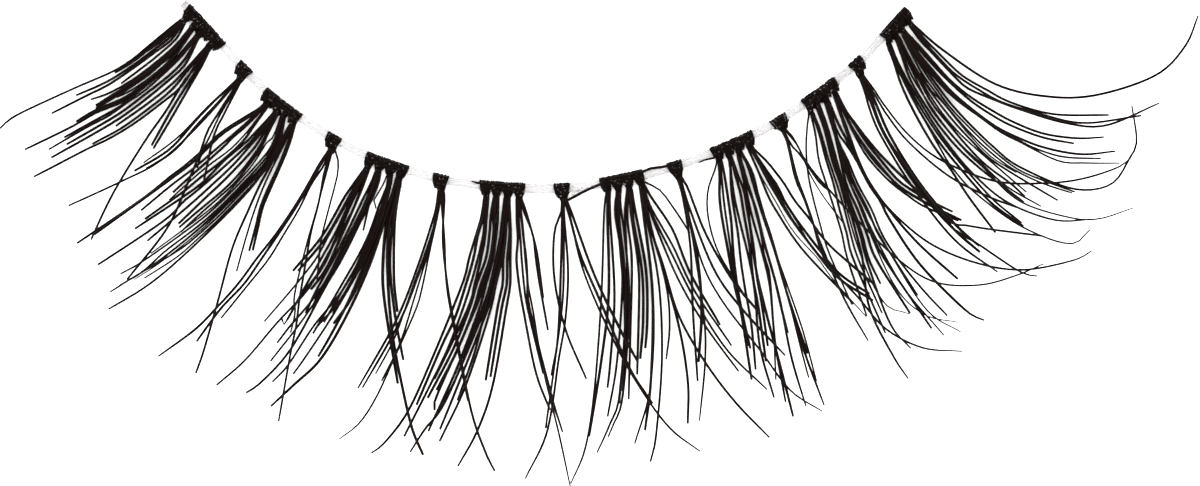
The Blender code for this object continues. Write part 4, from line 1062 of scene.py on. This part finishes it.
def cross_turn(place, along, out, width, level, thickness, random):
    """One turn that passes across the knot in front of the band and closes round behind its neck."""
    points = []
    for step in range(CROSS_STEPS + 1):
        turn = 2 * pi * step / CROSS_STEPS
        sideways = cos(turn) * width * (CROSS_WIDTH - CROSS_NARROWING * level)
        forwards = CROSS_OUT + CROSS_SPACING * level + CROSS_WAVE * sin(turn * 2 + level)
        height = sin(turn) * (CROSS_HEIGHT - CROSS_DROP * level) + random.uniform(*CROSS_SCATTER)
        spot = place + along * sideways + out * forwards
        points.append((spot.x, spot.y, BAND_HEIGHT + height))
    return Strand(points, [thickness] * len(points))


def lacing(first, last, seat, row, thickness, random):
    """One fibre laid along a row of knots, which ties them into one bar."""
    out_place, height = row
    points = []
    steps = max(4, round((last - first) / LACING_SPACING))
    for step in range(steps + 1):
        place, _, out = band_at(first + (last - first) * step / steps)
        spot = place + out * (seat + out_place + random.uniform(*LACING_SIDE_SCATTER))
        points.append((spot.x, spot.y, BAND_HEIGHT + height + random.uniform(*LACING_RISE_SCATTER)))
    return Strand(points, [thickness] * len(points))


def knots_of(bunch, sizes, materials):
    """The wound knots of one bunch as one piece."""
    random = Random(f"{bunch.node} knots")
    thickness = sizes.winding_thickness / METRES_PER_MM
    arcs, width = knot_places(bunch)
    strands = []
    for arc, stem in zip(arcs, bunch.stems):
        place, along, out = band_at(arc)
        place += out * bunch.seat
        for turn in range(sizes.winding_turns):
            offset = (turn / (sizes.winding_turns - 1) - 0.5) * (width - thickness)
            offset += random.uniform(*TURN_SCATTER)
            strands.append(winding(place, along, out, Vector(stem), offset, thickness, random))
        for level in range(CROSS_TURNS):
            strands.append(cross_turn(place, along, out, width, level, thickness, random))
    for row in LACING_ROWS:
        reach = width / 2 * (1 - LACING_TAPER * (row[0] + BACK_REACH)) - thickness / 2
        strands.append(lacing(arcs[0] - reach, arcs[-1] + reach, bunch.seat, row, thickness, random))
    return strands_piece(f"{bunch.node}_knots", strands, materials)


class STRIP_OT_knots(bpy.types.Operator):
    """Wind the knots of every group and tuft round the band"""

    bl_idname = "strip.knots"
    bl_label = "Knots"

    def execute(self, context):
        wound = glued_fibre("glue_coated_fibre", context.scene.strip_colours.fibre)
        for bunch in BUNCHES:
            piece = knots_of(bunch, context.scene.strip_sizes, (wound,))
        return {"FINISHED"}


BAND_STATIONS = 160
FILM_SIDES = 12
FILM_SHARE = 0.5
FILAMENT_STEP = 2
FILAMENT_OFFSETS = (-0.13, -0.045, 0.05, 0.13)
FILAMENT_SIDE_SCATTER = (-0.006, 0.006)
FILAMENT_RISE_SCATTER = (-0.004, 0.004)


def band_film():
    """The thin film of the band: a flat strip of rounded section swept along the lash line."""
    solid = bmesh.new()
    half_width = BAND_WIDTH / 2
    half_thickness = BAND_THICKNESS / 2 * FILM_SHARE
    before = None
    for station in range(BAND_STATIONS + 1):
        point, _, out = band_at(ARC[-1] * station / BAND_STATIONS)
        section = bmesh.ops.create_circle(solid, segments=FILM_SIDES, radius=1.0)["verts"]
        for corner in section:
            sideways = out * (corner.co.x * half_width)
            height = BAND_HEIGHT + corner.co.y * half_thickness
            corner.co = (*((point + sideways) * METRES_PER_MM), height * METRES_PER_MM)
        rim = [edge for edge in solid.edges if edge.verts[0] in section and edge.verts[1] in section]
        if before:
            bmesh.ops.bridge_loops(solid, edges=before + rim)
        else:
            bmesh.ops.contextual_create(solid, geom=rim)
        before = rim
    bmesh.ops.contextual_create(solid, geom=before)
    bmesh.ops.recalc_face_normals(solid, faces=solid.faces)
    mesh = bpy.data.meshes.new("band_film")
    solid.to_mesh(mesh)
    solid.free()
    mesh.shade_smooth()
    return mesh


class STRIP_OT_band(bpy.types.Operator):
    """Make the clear band from a thin film and the filaments along it"""

    bl_idname = "strip.band"
    bl_label = "Band"

    def execute(self, context):
        nylon = clear_nylon("clear_nylon", context.scene.strip_colours.band)
        mesh = band_film()
        mesh.materials.append(nylon)
        film = shown("band_film", mesh)
        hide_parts("lash_band")
        thickness = context.scene.strip_sizes.filament_thickness / METRES_PER_MM
        random = Random("filaments")
        strands = []
        for offset in FILAMENT_OFFSETS:
            points = []
            for station in range(0, BAND_STATIONS + 1, FILAMENT_STEP):
                point, _, out = band_at(ARC[-1] * station / BAND_STATIONS)
                spot = point + out * (offset + random.uniform(*FILAMENT_SIDE_SCATTER))
                points.append((spot.x, spot.y, BAND_HEIGHT + random.uniform(*FILAMENT_RISE_SCATTER)))
            strands.append(Strand(points, [thickness] * len(points)))
        filaments = strands_piece("band_filaments", strands, (nylon,), 2)
        return {"FINISHED"}


# Beads of dried glue: plan place, height above the table, and size against a usual bead.
GLUE_BEADS = (
    (1.06, -0.14, 0.2, 1.3), (1.14, -0.3, 0.16, 1.0), (1.12, -0.42, 0.12, 0.8), (1.3, -0.28, 0.12, 0.7),
    (-5.62, 0.02, 0.14, 1.2), (-5.72, -0.08, 0.12, 0.8), (-12.86, 5.74, 0.24, 1.0), (4.8, 0.86, 0.24, 0.9),
    (4.9, 0.62, 0.2, 0.7), (-8.18, 1.52, 0.2, 0.8), (12.0, 4.56, 0.24, 0.9),
)
BEAD_LUMPS = 0.12
BEAD_STRETCH = (0.8, 1.5)
BEAD_FLATNESS = 0.6


class STRIP_OT_glue(bpy.types.Operator):
    """Make the small beads of dried glue beside the knots"""

    bl_idname = "strip.glue"
    bl_label = "Glue"

    def execute(self, context):
        random = Random("glue")
        size = context.scene.strip_sizes.glue_bead
        solid = bmesh.new()
        for x, y, z, share in GLUE_BEADS:
            bead = bmesh.ops.create_icosphere(solid, subdivisions=2, radius=size / 2 * share)["verts"]
            for corner in bead:
                corner.co *= 1 + random.uniform(-BEAD_LUMPS, BEAD_LUMPS)
            bmesh.ops.scale(solid, vec=(random.uniform(*BEAD_STRETCH), 1.0, BEAD_FLATNESS), verts=bead)
            heading = Matrix.Rotation(random.uniform(0, pi), 3, "Z")
            bmesh.ops.rotate(solid, cent=(0, 0, 0), matrix=heading, verts=bead)
            bmesh.ops.translate(solid, vec=Vector((x, y, z)) * METRES_PER_MM, verts=bead)
        mesh = bpy.data.meshes.new("glue_beads")
        solid.to_mesh(mesh)
        solid.free()
        mesh.shade_smooth()
        mesh.materials.append(dried_glue("dried_lash_glue"))
        shown("glue_beads", mesh)
        return {"FINISHED"}


# The table and the lights are in metres and watts.
TABLE_SIZE = 0.6
STUDIO_STRENGTH = 0.9
CAMERA_REACH = 10.0
LIGHTS = (
    # name, size, power, place
    ("overhead_softbox", 0.5, 3.3, (0.0, 0.0, 0.45)),
    ("back_softbox", 0.3, 1.6, (0.1, 0.35, 0.25)),
    ("left_softbox", 0.3, 1.2, (-0.35, -0.05, 0.22)),
)


class STRIP_OT_stage(bpy.types.Operator):
    """Set the table, the soft lights and the camera"""

    bl_idname = "strip.stage"
    bl_label = "Table, lights and camera"

    def execute(self, context):
        solid = bmesh.new()
        bmesh.ops.create_grid(solid, x_segments=1, y_segments=1, size=TABLE_SIZE / 2)
        mesh = bpy.data.meshes.new("table")
        solid.to_mesh(mesh)
        solid.free()
        mesh.materials.append(matt_paper("matt_white_paper", context.scene.strip_colours.table))
        table = bpy.data.objects.new("table", mesh)
        context.scene.collection.objects.link(table)

        world = bpy.data.worlds.new("studio")
        world.use_nodes = True
        background = world.node_tree.nodes["Background"]
        background.inputs["Color"].default_value = (1.0, 1.0, 1.0, 1.0)
        background.inputs["Strength"].default_value = STUDIO_STRENGTH
        context.scene.world = world
        centre = Vector(PICTURE_CENTRE) * METRES_PER_MM
        for name, size, power, place in LIGHTS:
            light = bpy.data.lights.new(name, "AREA")
            light.shape = "SQUARE"
            light.size = size
            light.energy = power
            lamp = bpy.data.objects.new(name, light)
            lamp.location = place
            lamp.rotation_euler = (Vector(place) - centre).to_track_quat("Z", "Y").to_euler()
            context.scene.collection.objects.link(lamp)

        lens = bpy.data.cameras.new("picture_camera")
        lens.lens = LENS_MM
        lens.sensor_width = SENSOR_MM
        lens.sensor_fit = "HORIZONTAL"
        lens.clip_end = CAMERA_REACH
        camera = bpy.data.objects.new("picture_camera", lens)
        distance = PICTURE_WIDTH * METRES_PER_MM * LENS_MM / SENSOR_MM
        camera.location = centre + Vector((0, 0, distance))
        context.scene.collection.objects.link(camera)
        context.scene.camera = camera
        context.scene.view_settings.view_transform = "Standard"
        return {"FINISHED"}


class STRIP_PT_panel(bpy.types.Panel):
    """The strip's sizes, colours and pieces in the sidebar"""

    bl_label = "Lash strip"
    bl_idname = "STRIP_PT_panel"
    bl_space_type = "VIEW_3D"
    bl_region_type = "UI"
    bl_category = "Lash strip"

    def draw(self, context):
        for group in (context.scene.strip_sizes, context.scene.strip_colours):
            for name in group.bl_rna.properties.keys():
                if name not in ("rna_type", "name"):
                    self.layout.prop(group, name)
        for operator in OPERATORS:
            self.layout.operator(operator.bl_idname)


OPERATORS = (STRIP_OT_band, STRIP_OT_knots, STRIP_OT_lashes, STRIP_OT_glue, STRIP_OT_stage)
CLASSES = (StripSizes, StripColours, *OPERATORS, STRIP_PT_panel)


def register():
    for kind in CLASSES:
        bpy.utils.register_class(kind)
    bpy.types.Scene.strip_sizes = PointerProperty(type=StripSizes)
    bpy.types.Scene.strip_colours = PointerProperty(type=StripColours)


def unregister():
    del bpy.types.Scene.strip_colours
    del bpy.types.Scene.strip_sizes
    for kind in reversed(CLASSES):
        bpy.utils.unregister_class(kind)


def main():
    register()
    bpy.ops.strip.band()
    bpy.ops.strip.knots()
    bpy.ops.strip.lashes()
    bpy.ops.strip.glue()
    bpy.ops.strip.stage()


if __name__ == "__main__":
    main()
